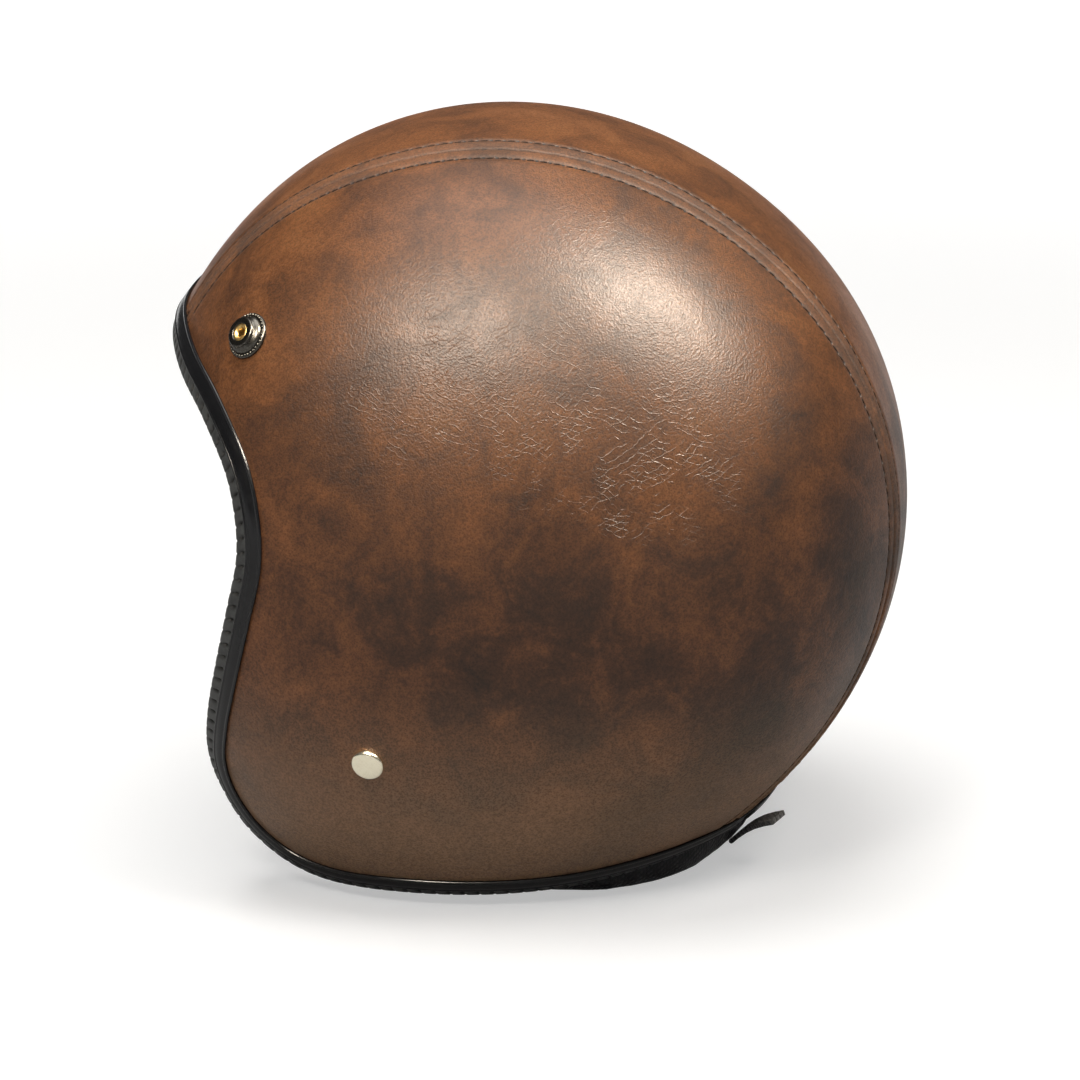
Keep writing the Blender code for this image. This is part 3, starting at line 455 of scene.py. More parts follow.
cloud = clouds(tree, place, 16.0, 2.0, 0.5, 0.5)
patch = clouds(tree, place, 48.0, 6.0, 0.62, 0.7)
speck = clouds(tree, place, 360.0, 5.0, 0.7)
tone = sums(tree, "MULTIPLY_ADD", patch, 0.50, times(tree, cloud, 0.30))
tone = sums(tree, "MULTIPLY_ADD", speck, 0.22, tone)
height = put(tree, "SeparateXYZ", {0: place}).outputs[2]
# Painted light: the tone drops by up to 0.098 below a height of 0.118 m and rises slightly above 0.175 m, so
# the top of the helmet reads lit from above
tone = sums(tree, "ADD", tone, spread(tree, height, 0.118, 0.175, -0.098, 0.018))
# Painted floor bounce: the tone is raised again towards the bottom, below a height of 0.085 m
tone = sums(tree, "ADD", tone, spread(tree, height, 0.010, 0.085, 0.110, 0.0))
# Soft patches, listed one by one: some are the hide's own mottle, others are painted light and painted
# shade, such as the darker patch at the rear edge and the lighter ones near the top
mottle_and_painted_light = soft_patches([
    ((0.094, -0.060, 0.163), 0.036, -0.06), ((0.112, 0.010, 0.152), 0.034, -0.05),
    ((0.118, 0.020, 0.107), 0.045, -0.05), ((0.100, 0.066, 0.070), 0.055, -0.06),
    ((0.112, -0.025, 0.095), 0.040, -0.05), ((0.080, 0.085, 0.132), 0.036, -0.04),
    ((0.095, -0.050, 0.213), 0.030, 0.05), ((0.118, -0.030, 0.118), 0.028, -0.06),
    ((0.100, 0.060, 0.178), 0.040, 0.06), ((0.055, 0.090, 0.203), 0.040, 0.04),
    ((0.104, 0.050, 0.152), 0.034, 0.02), ((0.000, 0.020, 0.260), 0.050, 0.03),
    ((0.055, 0.115, 0.135), 0.070, -0.07), ((0.075, 0.055, 0.205), 0.045, 0.06),
    ((0.110, 0.012, 0.187), 0.030, 0.05), ((0.080, -0.115, 0.180), 0.040, -0.06),
], tone)
colour = tones(tree, mottle_and_painted_light, [(0.26, (0.020, 0.0090, 0.0045)), (0.36, (0.054, 0.0215, 0.0095)),
                                  (0.46, (0.120, 0.045, 0.0165)), (0.56, (0.200, 0.075, 0.0260)),
                                  (0.72, (0.290, 0.120, 0.0450))])
# Painted floor bounce and reflection: towards the bottom the hide is blended to a paler, greyer brown
colour = blend(tree, spread(tree, height, 0.020, 0.100, 0.75, 0.0), colour, (0.170, 0.112, 0.070, 1.0))
bundles = soft_patches([((0.108, -0.028, 0.185), 0.044, 0.7), ((0.108, 0.026, 0.178), 0.054, 0.7),
                 ((0.106, 0.046, 0.150), 0.046, 0.7), ((0.075, 0.012, 0.232), 0.030, 0.5),
                 ((-0.106, -0.010, 0.170), 0.055, 0.8)])
drift = clouds(tree, place, 70.0, 2.0)
bundles = sums(tree, "MULTIPLY_ADD", bundles, spread(tree, drift, 0.38, 0.62), 0.05)
hide = use_group(tree, hide_grain, {"Place": place, "Creases": bundles})
colour = scaled(tree, colour, sums(tree, "MULTIPLY_ADD", hide["Tops"], 0.62, 0.66))
# Painted highlight: the crease lines are blended to a paler brown, as light catching the tops of the folds
colour = blend(tree, times(tree, hide["Lines"], 0.38), colour, (0.235, 0.108, 0.048, 1.0))
along, aside, _ = put(tree, "SeparateXYZ", {0: mark(tree, "seam_place", "Vector")}).outputs
phase = sums(tree, "FRACT", sums(tree, "DIVIDE", along, stitch_pitch))
hole = spread(tree, sums(tree, "ABSOLUTE", sums(tree, "SUBTRACT", phase, 0.5)), 0.30, 0.44)
off_row = sums(tree, "ABSOLUTE", sums(tree, "SUBTRACT", aside, stitch_row))
pit = times(tree, hole, spread(tree, off_row, 0.0002, 0.0008, 1.0, 0.0))
groove = spread(tree, off_row, 0.0002, 0.0011, 0.28, 0.0)
# Painted shade: the needle holes and the groove along each stitch row are blended to near black, as shade in
# these recesses
colour = blend(tree, sums(tree, "MAXIMUM", pit, groove), colour, (0.018, 0.008, 0.005, 1.0))
polish = spread(tree, patch, 0.3, 0.7, 0.47, 0.40)
polish = sums(tree, "ADD", polish, spread(tree, aside, 0.004, 0.010, 0.24, 0.0))
feed(tree, shader.inputs, {"Base Color": colour, "Specular IOR Level": 0.25,
                           "Roughness": sums(tree, "MULTIPLY_ADD", hide["Tops"], -0.05, polish)})
raise_by(tree, shader, sums(tree, "MULTIPLY_ADD", pit, -2.2, hide["Height"]), 0.00020, 0.70)

left_columns = [(d * on_x, 1.0, d) for d in band_steps]
right_columns = [(d * on_x, -1.0, d) for d in band_steps]
mid_columns = [(-d * on_x, 1.0, d) for d in band_steps]
mid_columns += [(-0.016 * on_x, 1.0 - 2.0 * k / 26.0, 1.0) for k in range(1, 26)]
mid_columns += [(-d * on_x, -1.0, d) for d in reversed(band_steps)]
for name, columns, side in (("leather_left", left_columns, 1.0), ("leather_right", right_columns, -1.0),
                            ("leather_centre", mid_columns, None)):
    hide_panel = into_mesh(name + "_hide", panel(name, columns, side), leather_look)
    finish_with(hide_panel, "SOLIDIFY", thickness=leather_thickness, offset=-1.0)
    belongs(hide_panel, "helmet", "brown_leather", name)


# Seam welts: a narrow strip of the same hide folded over a cord and caught in each seam, so a
# thin ridge stands between the panels. They end under the edge trim.

def swept(name, stations, section_at, closed, look, crease=None):
    work = bmesh.new()
    rows = [[work.verts.new(spot) for spot in section_at(k, station)] for k, station in enumerate(stations)]
    count = len(rows[0])
    for k in range(len(rows) if closed else len(rows) - 1):
        a, b = rows[k], rows[(k + 1) % len(rows)]
        for i in range(count):
            j = (i + 1) % count
            work.faces.new((a[i], a[j], b[j], b[i]))
    if not closed:
        work.faces.new(rows[0])
        work.faces.new(list(reversed(rows[-1])))
    return into_mesh(name, work, look, crease=crease)


def frames(points, closed, far_side):
    made = []
    count = len(points)
    for i in range(count):
        if closed:
            along = points[(i + 1) % count] - points[i - 1]
        else:
            along = points[min(i + 1, count - 1)] - points[max(i - 1, 0)]
        way = outward(points[i])
        made.append((points[i], along.cross(way).normalized(), way))
    if sum(side.dot(far_side(point)) for point, side, _ in made) < 0.0:
        for _, side, _ in made:
            side.negate()
    return made


def drawn_on(point):
    return point * level(*point) ** (-1.0 / fullness(math.atan2(point.z, point.y)))


def spot_of(station, reach, depth):
    point, side, way = station
    if reach >= 0.0:
        return point + side * reach - way * depth + ear
    near = drawn_on(point + side * reach)
    return near - outward(near) * depth + ear


sides = ((1.0, "left"), (-1.0, "right"))
welt_section = [(-1.05, 1.0), (-1.05, 0.10), (-0.92, -0.22), (-0.66, -0.52), (-0.36, -0.72), (0.0, -0.80),
                (0.36, -0.72), (0.66, -0.52), (0.92, -0.22), (1.05, 0.10), (1.05, 1.0)]
for side, word in sides:
    run = column(0.0, side, 420)[5:-5]

    def welt_at(k, station):
        swell = 1.0 + 0.10 * math.sin(k * 0.83) + 0.07 * math.sin(k * 2.17)
        return [spot_of(station, a * 0.001, (b * swell if b < 0.0 else b) * 0.001) for a, b in welt_section]

    stations = frames(run, False, lambda p: Vector((1.0, 0.0, 0.0)))
    welt = swept("seam_welt_" + word + "_hide", stations, welt_at, False, leather_look)
    belongs(welt, "helmet", "brown_leather", "seam_welt_" + word)


# Topstitching: waxed brown thread in a long lockstitch, two rows to a seam, each stitch sunk in
# the groove that its tension pulls into the hide.

thread_look, tree, shader = start_look("waxed_thread", (0.03, 0.014, 0.008), 0.7)
place = here(tree)
twist = clouds(tree, place, 1800.0, 3.0)
feed(tree, shader.inputs, {"Specular IOR Level": 0.1, "Base Color": tones(tree, twist, [
    (0.3, (0.014, 0.007, 0.004)), (0.7, (0.070, 0.032, 0.016))])})
raise_by(tree, shader, twist, 0.0002, 0.6)
bpy.ops.mesh.primitive_uv_sphere_add(segments=8, ring_count=6, radius=1.0)
bead = bpy.context.object
bead_points = [v.co.copy() for v in bead.data.vertices]
bead_faces = [tuple(f.vertices) for f in bead.data.polygons]
bpy.data.objects.remove(bead)


def scattered(name, places, look, sizes):
    points = []
    faces = []
    for centre, along, across, way in places:
        turned_to = Matrix((along * sizes[0], across * sizes[1], way * sizes[2])).transposed()
        faces += [tuple(i + len(points) for i in face) for face in bead_faces]
        points += [centre + turned_to @ p for p in bead_points]
    mesh = bpy.data.meshes.new(name)
    mesh.from_pydata(points, [], faces)
    mesh.materials.append(look)
    mesh.shade_smooth()
    return placed(name, mesh)


for side, word in sides:
    places = []
    for shift in (stitch_row * on_x, -stitch_row * on_x):
        run = column(shift, side, seam_spans)
        step_length = seam_length / seam_spans
        total = int(seam_length / stitch_pitch)
        for n in range(2, total - 1):
            k = (n + 0.5) * stitch_pitch / step_length
            i = int(k)
            if i + 1 > seam_spans - 4 or i < 4:
                continue
            point = run[i].lerp(run[i + 1], k - i)
            way = outward(point)
            along = (run[i + 1] - run[i]).normalized()
            across = way.cross(along).normalized()
            along = (along + across * 0.16).normalized()
            across = way.cross(along).normalized()
            places.append((point - way * 0.00002 + ear, along, across, way))
    stitches = scattered("topstitching_" + word, places, thread_look, (0.00125, 0.00036, 0.00030))
    belongs(stitches, "helmet", "brown_leather")


# Edge trim: an extruded black rubber channel pushed over the shell and leather edge and glued. It
# has a thin lip on the hide, a glossy flat band, a bead, and a matt nose moulded with slanting ribs.

shell_back = 0.0050
trim_back = 0.0069
rib_pitch = 0.0050
rubber_look, tree, shader = start_look("black_rubber", (0.012, 0.012, 0.013), 0.25)
place = here(tree)
ribbed = mark(tree, "ribbed", "Fac")
notch_shade = mark(tree, "notch_shade", "Fac")
dust = clouds(tree, place, 240.0, 5.0, 0.6)
dusty = times(tree, ribbed, spread(tree, dust, 0.35, 0.70, 0.45, 1.0))
# Painted shade: the rib grooves and holes of the nose are kept free of dust and painted near black, as shade
# in these recesses
dusty = times(tree, dusty, sums(tree, "SUBTRACT", 1.0, notch_shade))
black = blend(tree, notch_shade, (0.009, 0.009, 0.010, 1.0), (0.001, 0.001, 0.001, 1.0))
gloss = spread(tree, dust, 0.3, 0.7, 0.17, 0.27)
feed(tree, shader.inputs, {"Base Color": blend(tree, dusty, black, (0.060, 0.062, 0.060, 1.0)),
                           "Roughness": sums(tree, "MULTIPLY_ADD", ribbed, 0.28, gloss),
                           "Specular IOR Level": 0.30})
raise_by(tree, shader, clouds(tree, place, 1500.0, 3.0), 0.0001, 0.25)

start, i = crossing(0.0, 1.0, True)
end, j = crossing(0.0, 1.0, False)


def across_at(share, front):
    p = crossing(0.0, share, front)[0]
    return Vector((seam_across(angle_of(p), 0.0) * share, p[0], p[1]))


half_rim = [across_at(0.04 * k, True) for k in range(25)]
half_rim += [lift(*p) for p in [start] + [opening_line[k] for k in range(i, j + 1)] + [end]]
half_rim += [across_at(1.0 - 0.04 * k, False) for k in range(1, 26)]
for _ in range(3):
    half_rim, half_length = even_run(half_rim, 800)
rim = half_rim[:-1] + [Vector((-p.x, p.y, p.z)) for p in reversed(half_rim[1:])]
rim_frames = frames(rim, True, lambda p: Vector((0.0, p.y, p.z)))
rib_count = round(2.0 * half_length / rib_pitch)


def share_of(value, start, end):
    return min(max((value - start) / (end - start), 0.0), 1.0)


def trim_nose(point):
    return 0.0065 + 0.0045 * share_of(point.z, -0.0830, -0.0950) * share_of(point.y, -0.0600, -0.0850)


trim_outer = smooth_line([
    (-5.3, -0.2), (-5.25, -0.35), (-5.32, -0.75), (-5.12, -1.12), (-4.75, -1.26), (-4.35, -1.16),
    (-3.95, -1.20), (-2.9, -1.52), (-1.9, -1.70), (-0.8, -1.78), (-0.2, -1.76), (0.10, -1.96), (0.50, -1.94),
    (0.72, -1.58), (0.9, -1.3)], 2)
trim_face = smooth_line([
    (-0.1, -1.42), (0.0, -1.38), (0.16, -1.30), (0.34, -1.22), (0.52, -1.08), (0.66, -0.80), (0.80, -0.10),
    (0.91, 1.00), (0.985, 2.30), (1.0, 3.50), (0.95, 4.80), (0.82, 6.00), (0.7, 6.6)], 2)
ribbed_share = [0.0] * len(trim_outer) + [1.0] * (len(trim_face) - 4) + [0.6] * 4 + [0.0] * 4
notch_marks = []


def trim_at(k, station):
    nose = trim_nose(station[0])
    slide = 0.0013 * share_of(station[0].z, 0.030, -0.050)
    made = []
    marks = [0.0] * trim_count
    for a, b in trim_outer:
        made.append(spot_of(station, a * 0.001 - slide * share_of(a, -4.5, -0.4), b * 0.001))
    start = 0.00080 - slide
    for n, (a, b) in enumerate(trim_face):
        q = n / (len(trim_face) - 1.0)
        swing = (k / len(rim) * rib_count - (q - 0.5) * 0.85 + 100.0) % 1.0
        off = min(swing, 1.0 - swing)
        groove = math.exp(-(off / 0.070) ** 2)
        ends = math.exp(-((q - 0.16) / 0.07) ** 2) + math.exp(-((q - 0.62) / 0.09) ** 2)
        hole = math.exp(-(off / 0.13) ** 2) * min(ends, 1.0)
        # Per-point mask of the rib grooves and holes, used for their painted shade
        marks[len(trim_outer) + n] = min(1.0, hole * 1.3 + groove * 0.85)
        sink = (0.00048 * groove + 0.00075 * hole) * min(q / 0.08, 1.0)
        reach = start + (nose - start) * a
        lean = share_of(q, 0.45, 0.85)
        made.append(spot_of(station, reach - sink * lean, b * 0.001 + sink * (1.0 - lean)))
    for reach, depth in ((nose - 0.0024, trim_back), (-0.0020, trim_back), (-0.0020, shell_back + 0.0014),
                         (0.0003, shell_back + 0.0010)):
        made.append(spot_of(station, reach, depth))
    for spot in made:
        spot.z = max(spot.z, 0.0)
    notch_marks.append(marks)
    return made


trim_count = len(trim_outer) + len(trim_face) + 4
trim = swept("edge_trim_rubber", rim_frames, trim_at, True, rubber_look, crease=55.0)
for name, values in (("ribbed", ribbed_share * len(rim)), ("notch_shade", np.concatenate(notch_marks))):
    trim.data.attributes.new(name, "FLOAT", "POINT").data.foreach_set("value", np.array(values, np.float32))
belongs(trim, "helmet", "black_rubber", "edge_trim")


# Brow press studs: a beaded base ring and a hollow domed stud in polished black nickel, set
# through leather and shell by a brass eyelet whose rolled end shows inside the stud.

def metal(name, colour, roughness, stain_colour, scratches=0.10):
    look, tree, shader = start_look(name, colour, roughness, 1.0)
    place = here(tree)
    film = clouds(tree, place, 700.0, 5.0, 0.6)
    feed(tree, shader.inputs, {"Base Color": tones(tree, film, [(0.35, stain_colour), (0.6, colour)]),
                               "Roughness": spread(tree, film, 0.3, 0.7, roughness + scratches, roughness)})
    raise_by(tree, shader, film, 0.00004, 0.3)
    return look


nickel_look = metal("black_nickel", (0.085, 0.080, 0.070), 0.25, (0.060, 0.056, 0.050), 0.04)
brass_look = metal("brass", (0.52, 0.37, 0.14), 0.32, (0.28, 0.18, 0.07))


def spun(name, profile, look, spot, way, steps=64):
    bpy.ops.mesh.primitive_plane_add(size=0.01)
    piece = bpy.context.object
    piece.name = name
    mesh = piece.data
    mesh.clear_geometry()
    mesh.from_pydata([(r, 0.0, h) for r, h in profile], [(i, i + 1) for i in range(len(profile) - 1)], [])
    bpy.ops.object.mode_set(mode="EDIT")
    bpy.ops.mesh.select_all(action="SELECT")
    bpy.ops.mesh.spin(steps=steps, angle=2.0 * math.pi, center=(0.0, 0.0, 0.0), axis=(0.0, 0.0, 1.0))
    bpy.ops.mesh.select_all(action="SELECT")
    bpy.ops.mesh.remove_doubles(threshold=0.00001)
    bpy.ops.mesh.normals_make_consistent(inside=False)
    bpy.ops.object.mode_set(mode="OBJECT")
    mesh.transform(Matrix.Translation(spot) @ way.to_track_quat("Z", "Y").to_matrix().to_4x4())
    mesh.materials.append(look)
    mesh.shade_smooth()
    mesh.set_sharp_from_angle(angle=math.radians(50.0))
    return piece


def rounded(points, steps=5):
    # A closed outline: its corners are drawn as smooth bends between the given points
    ring = [points[-1]] + list(points) + [points[0], points[1]]
    line = smooth_line([(a * 0.001, b * 0.001) for a, b in ring], steps)
    return [(max(float(a), 0.0), float(b)) for a, b in line]


snap_angle = math.radians(138.1)
snap_across = 0.0818
snap_radius = column_radius(snap_angle, snap_across)
for side, word in sides:
    spot = Vector((side * snap_across, snap_radius * math.cos(snap_angle),
                   snap_radius * math.sin(snap_angle)))
    way = outward(spot)
    spot += ear
    base = spun("snap_ring_" + word + "_metal", rounded([
        (2.8, 0.95), (5.4, 1.0), (6.3, 0.92), (7.0, 0.98), (7.6, 0.80), (7.9, 0.30), (7.7, -0.45),
        (6.5, -0.5), (2.8, -0.3)]), nickel_look, spot, way)
    aside = way.orthogonal().normalized()
    beads = []
    for k in range(36):
        around = aside * math.cos(math.pi * k / 18.0) + way.cross(aside) * math.sin(math.pi * k / 18.0)
        beads.append((spot + around * 0.00715 + way * 0.00098, around, way.cross(around), way))
    beading = scattered("snap_beading_" + word, beads, nickel_look, (0.00052, 0.00046, 0.00042))
    stud = spun("snap_stud_" + word + "_metal", rounded([
        (3.05, 3.55), (3.10, 4.12), (3.55, 4.235), (4.55, 4.22), (5.10, 4.02), (5.28, 3.60), (5.05, 3.20),
        (4.80, 2.90), (5.20, 2.62), (5.90, 2.22), (6.40, 1.70), (6.62, 1.15), (6.45, 0.98), (5.2, 0.98),
        (3.1, 1.0)]), nickel_look, spot, way)
    eyelet = spun("snap_eyelet_" + word + "_brass", rounded([
        (1.50, 3.2), (2.10, 3.90), (2.62, 4.05), (2.98, 3.80), (3.00, 3.35), (2.55, 3.0), (2.20, 1.5),
        (2.18, -4.2), (2.4, -5.6), (3.3, -5.85), (3.3, -6.3), (1.6, -6.3), (1.30, -2.0), (1.32, 1.5)]),
        brass_look, spot, way)
    belongs(base, "helmet", "black_nickel", "snap_ring_" + word)
    belongs(beading, "helmet", "black_nickel")
    belongs(stud, "helmet", "black_nickel", "snap_stud_" + word)
    belongs(eyelet, "helmet", "brass", "snap_eyelet_" + word)


# Chin strap rivets: one on each side low at the front, a pale gold plated disc with a turned edge
# outside and a steel washer over the webbing inside.

gold_look = metal("pale_gold", (0.84, 0.79, 0.63), 0.22, (0.80, 0.745, 0.58), 0.03)
steel_look = metal("steel", (0.60, 0.60, 0.59), 0.22, (0.42, 0.42, 0.41))
rivet_y = -0.0488
rivet_z = -0.0568
for side, word in sides:
    spot = lift(rivet_y, rivet_z)
    spot.x *= side
    way = outward(spot)
    spot += ear
    rivet = spun("rivet_" + word + "_gold", [(max(a, 0.0) * 0.001, b * 0.001) for a, b in (
        (0.0, 1.92), (2.0, 1.92), (3.9, 1.88), (4.6, 1.82), (5.05, 1.64), (5.42, 1.22), (5.60, 0.72),
        (5.60, 0.25), (5.52, -0.12), (5.0, -0.25), (1.6, -0.25), (1.6, -9.6), (3.0, -9.7), (2.95, -10.3),
        (2.4, -10.5), (0.0, -10.5))], gold_look, spot, way)
    belongs(rivet, "helmet", "pale_gold", "rivet_" + word)
    wear_look("rivet_washer_" + word, steel_look)


# Impact liner: black bead foam moulded in a crown block and two sides, pressed into the shell. Its
# fused beads show as a fine cellular skin where it is uncovered over the ears.

foam_look, tree, shader = start_look("foam", (0.03, 0.03, 0.032), 0.85)
cells = {"Vector": here(tree), "Scale": 330.0}
walls = put(tree, "TexVoronoi", cells, feature="DISTANCE_TO_EDGE").outputs["Distance"]
tint = put(tree, "TexVoronoi", cells).outputs["Color"]
foam_tones = [(0.2, (0.020, 0.020, 0.022)), (0.8, (0.045, 0.045, 0.047))]
feed(tree, shader.inputs, {"Base Color": tones(tree, tint, foam_tones)})
raise_by(tree, shader, spread(tree, walls, 0.0, 0.14), 0.0003, 0.8)
for node in ("impact_liner_left", "impact_liner_right", "impact_liner_centre"):
    wear_look(node, foam_look)


# Crown liner: soft brushed black cloth over thin foam, quilted in diamonds by lines of stitching
# and glued inside the impact liner.

liner_depth = 0.0284
liner_back = 0.0346
quilt_pitch = 0.026


def cloth_look(name, dye, roughness, count, nap_scale, nap_range, sheen, depth, strength):
    look, tree, shader = start_look(name, dye, roughness)
    place = here(tree)
    cloth = use_group(tree, weave, {"Place": place, "Count": count})
    nap = spread(tree, clouds(tree, place, nap_scale, 4.0), 0.3, 0.7, *nap_range)
    shade = times(tree, nap, cloth["Shade"])
    feed(tree, shader.inputs, {"Base Color": scaled(tree, dye, shade), "Sheen Weight": sheen,
                               "Sheen Roughness": 0.5})
    raise_by(tree, shader, cloth["Height"], depth, strength)
    return look


lining_look = cloth_look("quilted_lining", (0.024, 0.024, 0.026), 0.75, 5200.0, 90.0, (0.75, 1.25), 0.35,
                         0.0003, 0.6)


def merged_copy(node):
    work = bmesh.new()
    work.from_mesh(frame["nodes"][node].data)
    bmesh.ops.remove_doubles(work, verts=work.verts, dist=0.00001)
    return work


def foot_of(point):
    foot = drawn_on(point)
    for _ in range(5):
        way = outward(foot)
        foot = drawn_on(point + way * (foot - point).dot(way))
    return foot


work = merged_copy("crown_liner")
wall = work.verts.layers.float.new("wall")
for vert in work.verts:
    point = vert.co - ear
    vert[wall] = float((foot_of(point) - point).length > 0.5 * (liner_depth + liner_back))
bmesh.ops.subdivide_edges(work, edges=work.edges[:], cuts=6, use_grid_fill=True)
for vert in work.verts:
    foot = foot_of(vert.co - ear)
    share = vert[wall]
    along = math.atan2(foot.z, foot.y) * 0.112
    across = math.asin(min(max(foot.x / half_width, -1.0), 1.0)) * 0.100
    a = math.sin(math.pi * (along + across) / quilt_pitch)
    b = math.sin(math.pi * (along - across) / quilt_pitch)
    swell = abs(a * b) ** 0.42
    depth = liner_depth + 0.0008 + (liner_back - 0.0014 - liner_depth) * share
    depth += 0.0020 * swell * (share > 0.98)
    vert.co = foot - outward(foot) * depth + ear
quilt = into_mesh("crown_liner_quilt", work, lining_look)
belongs(quilt, "helmet", "black_padding", "crown_liner")


# Padded rolls round the brow and the nape, and the cheek pads: soft foam in a black knitted cover,
# sewn shut along the back and tucked behind the edge trim.

padding_look = cloth_look("black_padding", (0.019, 0.019, 0.021), 0.8, 3600.0, 120.0, (0.8, 1.3), 0.25,
                          0.0004, 0.7)


cloth_frames = 20


def stuffed(node, voxel, start_in, cap, rounds=1):
    pad = into_mesh(node + "_cover", merged_copy(node), padding_look)
    if rounds:
        finish_with(pad, "SUBSURF", levels=rounds, render_levels=rounds)
    finish_with(pad, "REMESH", mode="VOXEL", voxel_size=voxel)
    finish_with(pad, "DISPLACE", strength=-start_in, mid_level=0.0)
    before = [v.co.copy() for v in pad.data.vertices]
    use(pad)
    step = pad.modifiers.new("cloth", "CLOTH")
    for key, value in (("quality", 4), ("mass", 0.15), ("tension_stiffness", 12.0),
                       ("compression_stiffness", 12.0), ("shear_stiffness", 6.0),
                       ("bending_stiffness", 0.6), ("use_pressure", True),
                       ("uniform_pressure_force", 4.0)):
        setattr(step.settings, key, value)
    step.settings.effector_weights.gravity = 0.0
    step.point_cache.frame_start = 1
    step.point_cache.frame_end = cloth_frames
    for moment in range(1, cloth_frames + 1):
        bpy.context.scene.frame_set(moment)
    bpy.ops.object.modifier_apply(modifier=step.name)
    bpy.context.scene.frame_set(1)
    for vert, old in zip(pad.data.vertices, before):
        move = vert.co - old
        if move.length > cap:
            vert.co = old + move * (cap / move.length)
    finish_with(pad, "SUBSURF", levels=1, render_levels=1)
    for vert in pad.data.vertices:
        vert.co.z = max(vert.co.z, 0.0)
    pad.data.shade_smooth()
    return pad


for node, voxel, start_in in (("brow_roll", 0.0035, 0.0008), ("neck_roll", 0.0040, -0.0006),
                              ("cheek_pad_left", 0.0040, 0.0008), ("cheek_pad_right", 0.0040, 0.0008)):
    belongs(stuffed(node, voxel, start_in, 0.0020), "helmet", "black_padding", node)


# Chin straps: flat woven black webbing. Each is riveted through the shell under the cheek pad and
# leaves over the rim; the short one carries two D-rings in its sewn loop, the long one threads them.

webbing_look, tree, shader = start_look("black_webbing", (0.02, 0.02, 0.022), 0.7)
along, aside, _ = put(tree, "SeparateXYZ", {0: mark(tree, "web_place", "Vector")}).outputs
across_web = times(tree, aside, 2600.0)
twill = sums(tree, "MAXIMUM", sums(tree, "SINE", sums(tree, "MULTIPLY_ADD", along, 3300.0, across_web)),
             sums(tree, "SINE", sums(tree, "MULTIPLY_ADD", along, -3300.0, across_web)))
feed(tree, shader.inputs, {"Sheen Weight": 0.3, "Base Color": tones(tree, twill, [
    (0.0, (0.006, 0.006, 0.007)), (0.9, (0.040, 0.040, 0.043))])})
raise_by(tree, shader, twill, 0.0003, 0.7)


def mark_web(piece, values):
    marks = piece.data.attributes.new("web_place", "FLOAT_VECTOR", "POINT")
    marks.data.foreach_set("vector", np.array(values, np.float32).ravel())


strap_width = 0.0200
strap_thickness = 0.0018
across_y = Vector((0.0, 1.0, 0.0))


def webbing(name, path, count=60):
    dense = smooth_line([tuple(path[0] * 2.0 - path[1])] + [tuple(p) for p in path]
                        + [tuple(path[-1] * 2.0 - path[-2])] * 2, 8)
    run, length = even_run([Vector(p.tolist()) for p in dense[:-8]], count)
    section = []
    for k in range(20):
        spin = 2.0 * math.pi * k / 20.0
        c, s = math.cos(spin), math.sin(spin)
        section.append((math.copysign(abs(c) ** 0.30, c) * strap_width / 2.0,
                        math.copysign(abs(s) ** 0.55, s) * strap_thickness / 2.0))
    stations = []
    for i, point in enumerate(run):
        along = (run[min(i + 1, count - 1)] - run[max(i - 1, 0)]).normalized()
        through = across_y.cross(along).normalized()
        stations.append((point, along.cross(through).normalized(), through))

    def at(k, station):
        point, wide, through = station
        near = min(k, count - 1 - k)
        slim = (0.35, 0.8, 1.0)[min(near, 2)]
        return [point + wide * a * (0.9 if near == 0 else 1.0) + through * b * slim for a, b in section]

    strip = swept(name, stations, at, False, webbing_look)
    mark_web(strip, [(k * length / (count - 1.0), a, 0.0) for k in range(count) for a, b in section])
    return strip


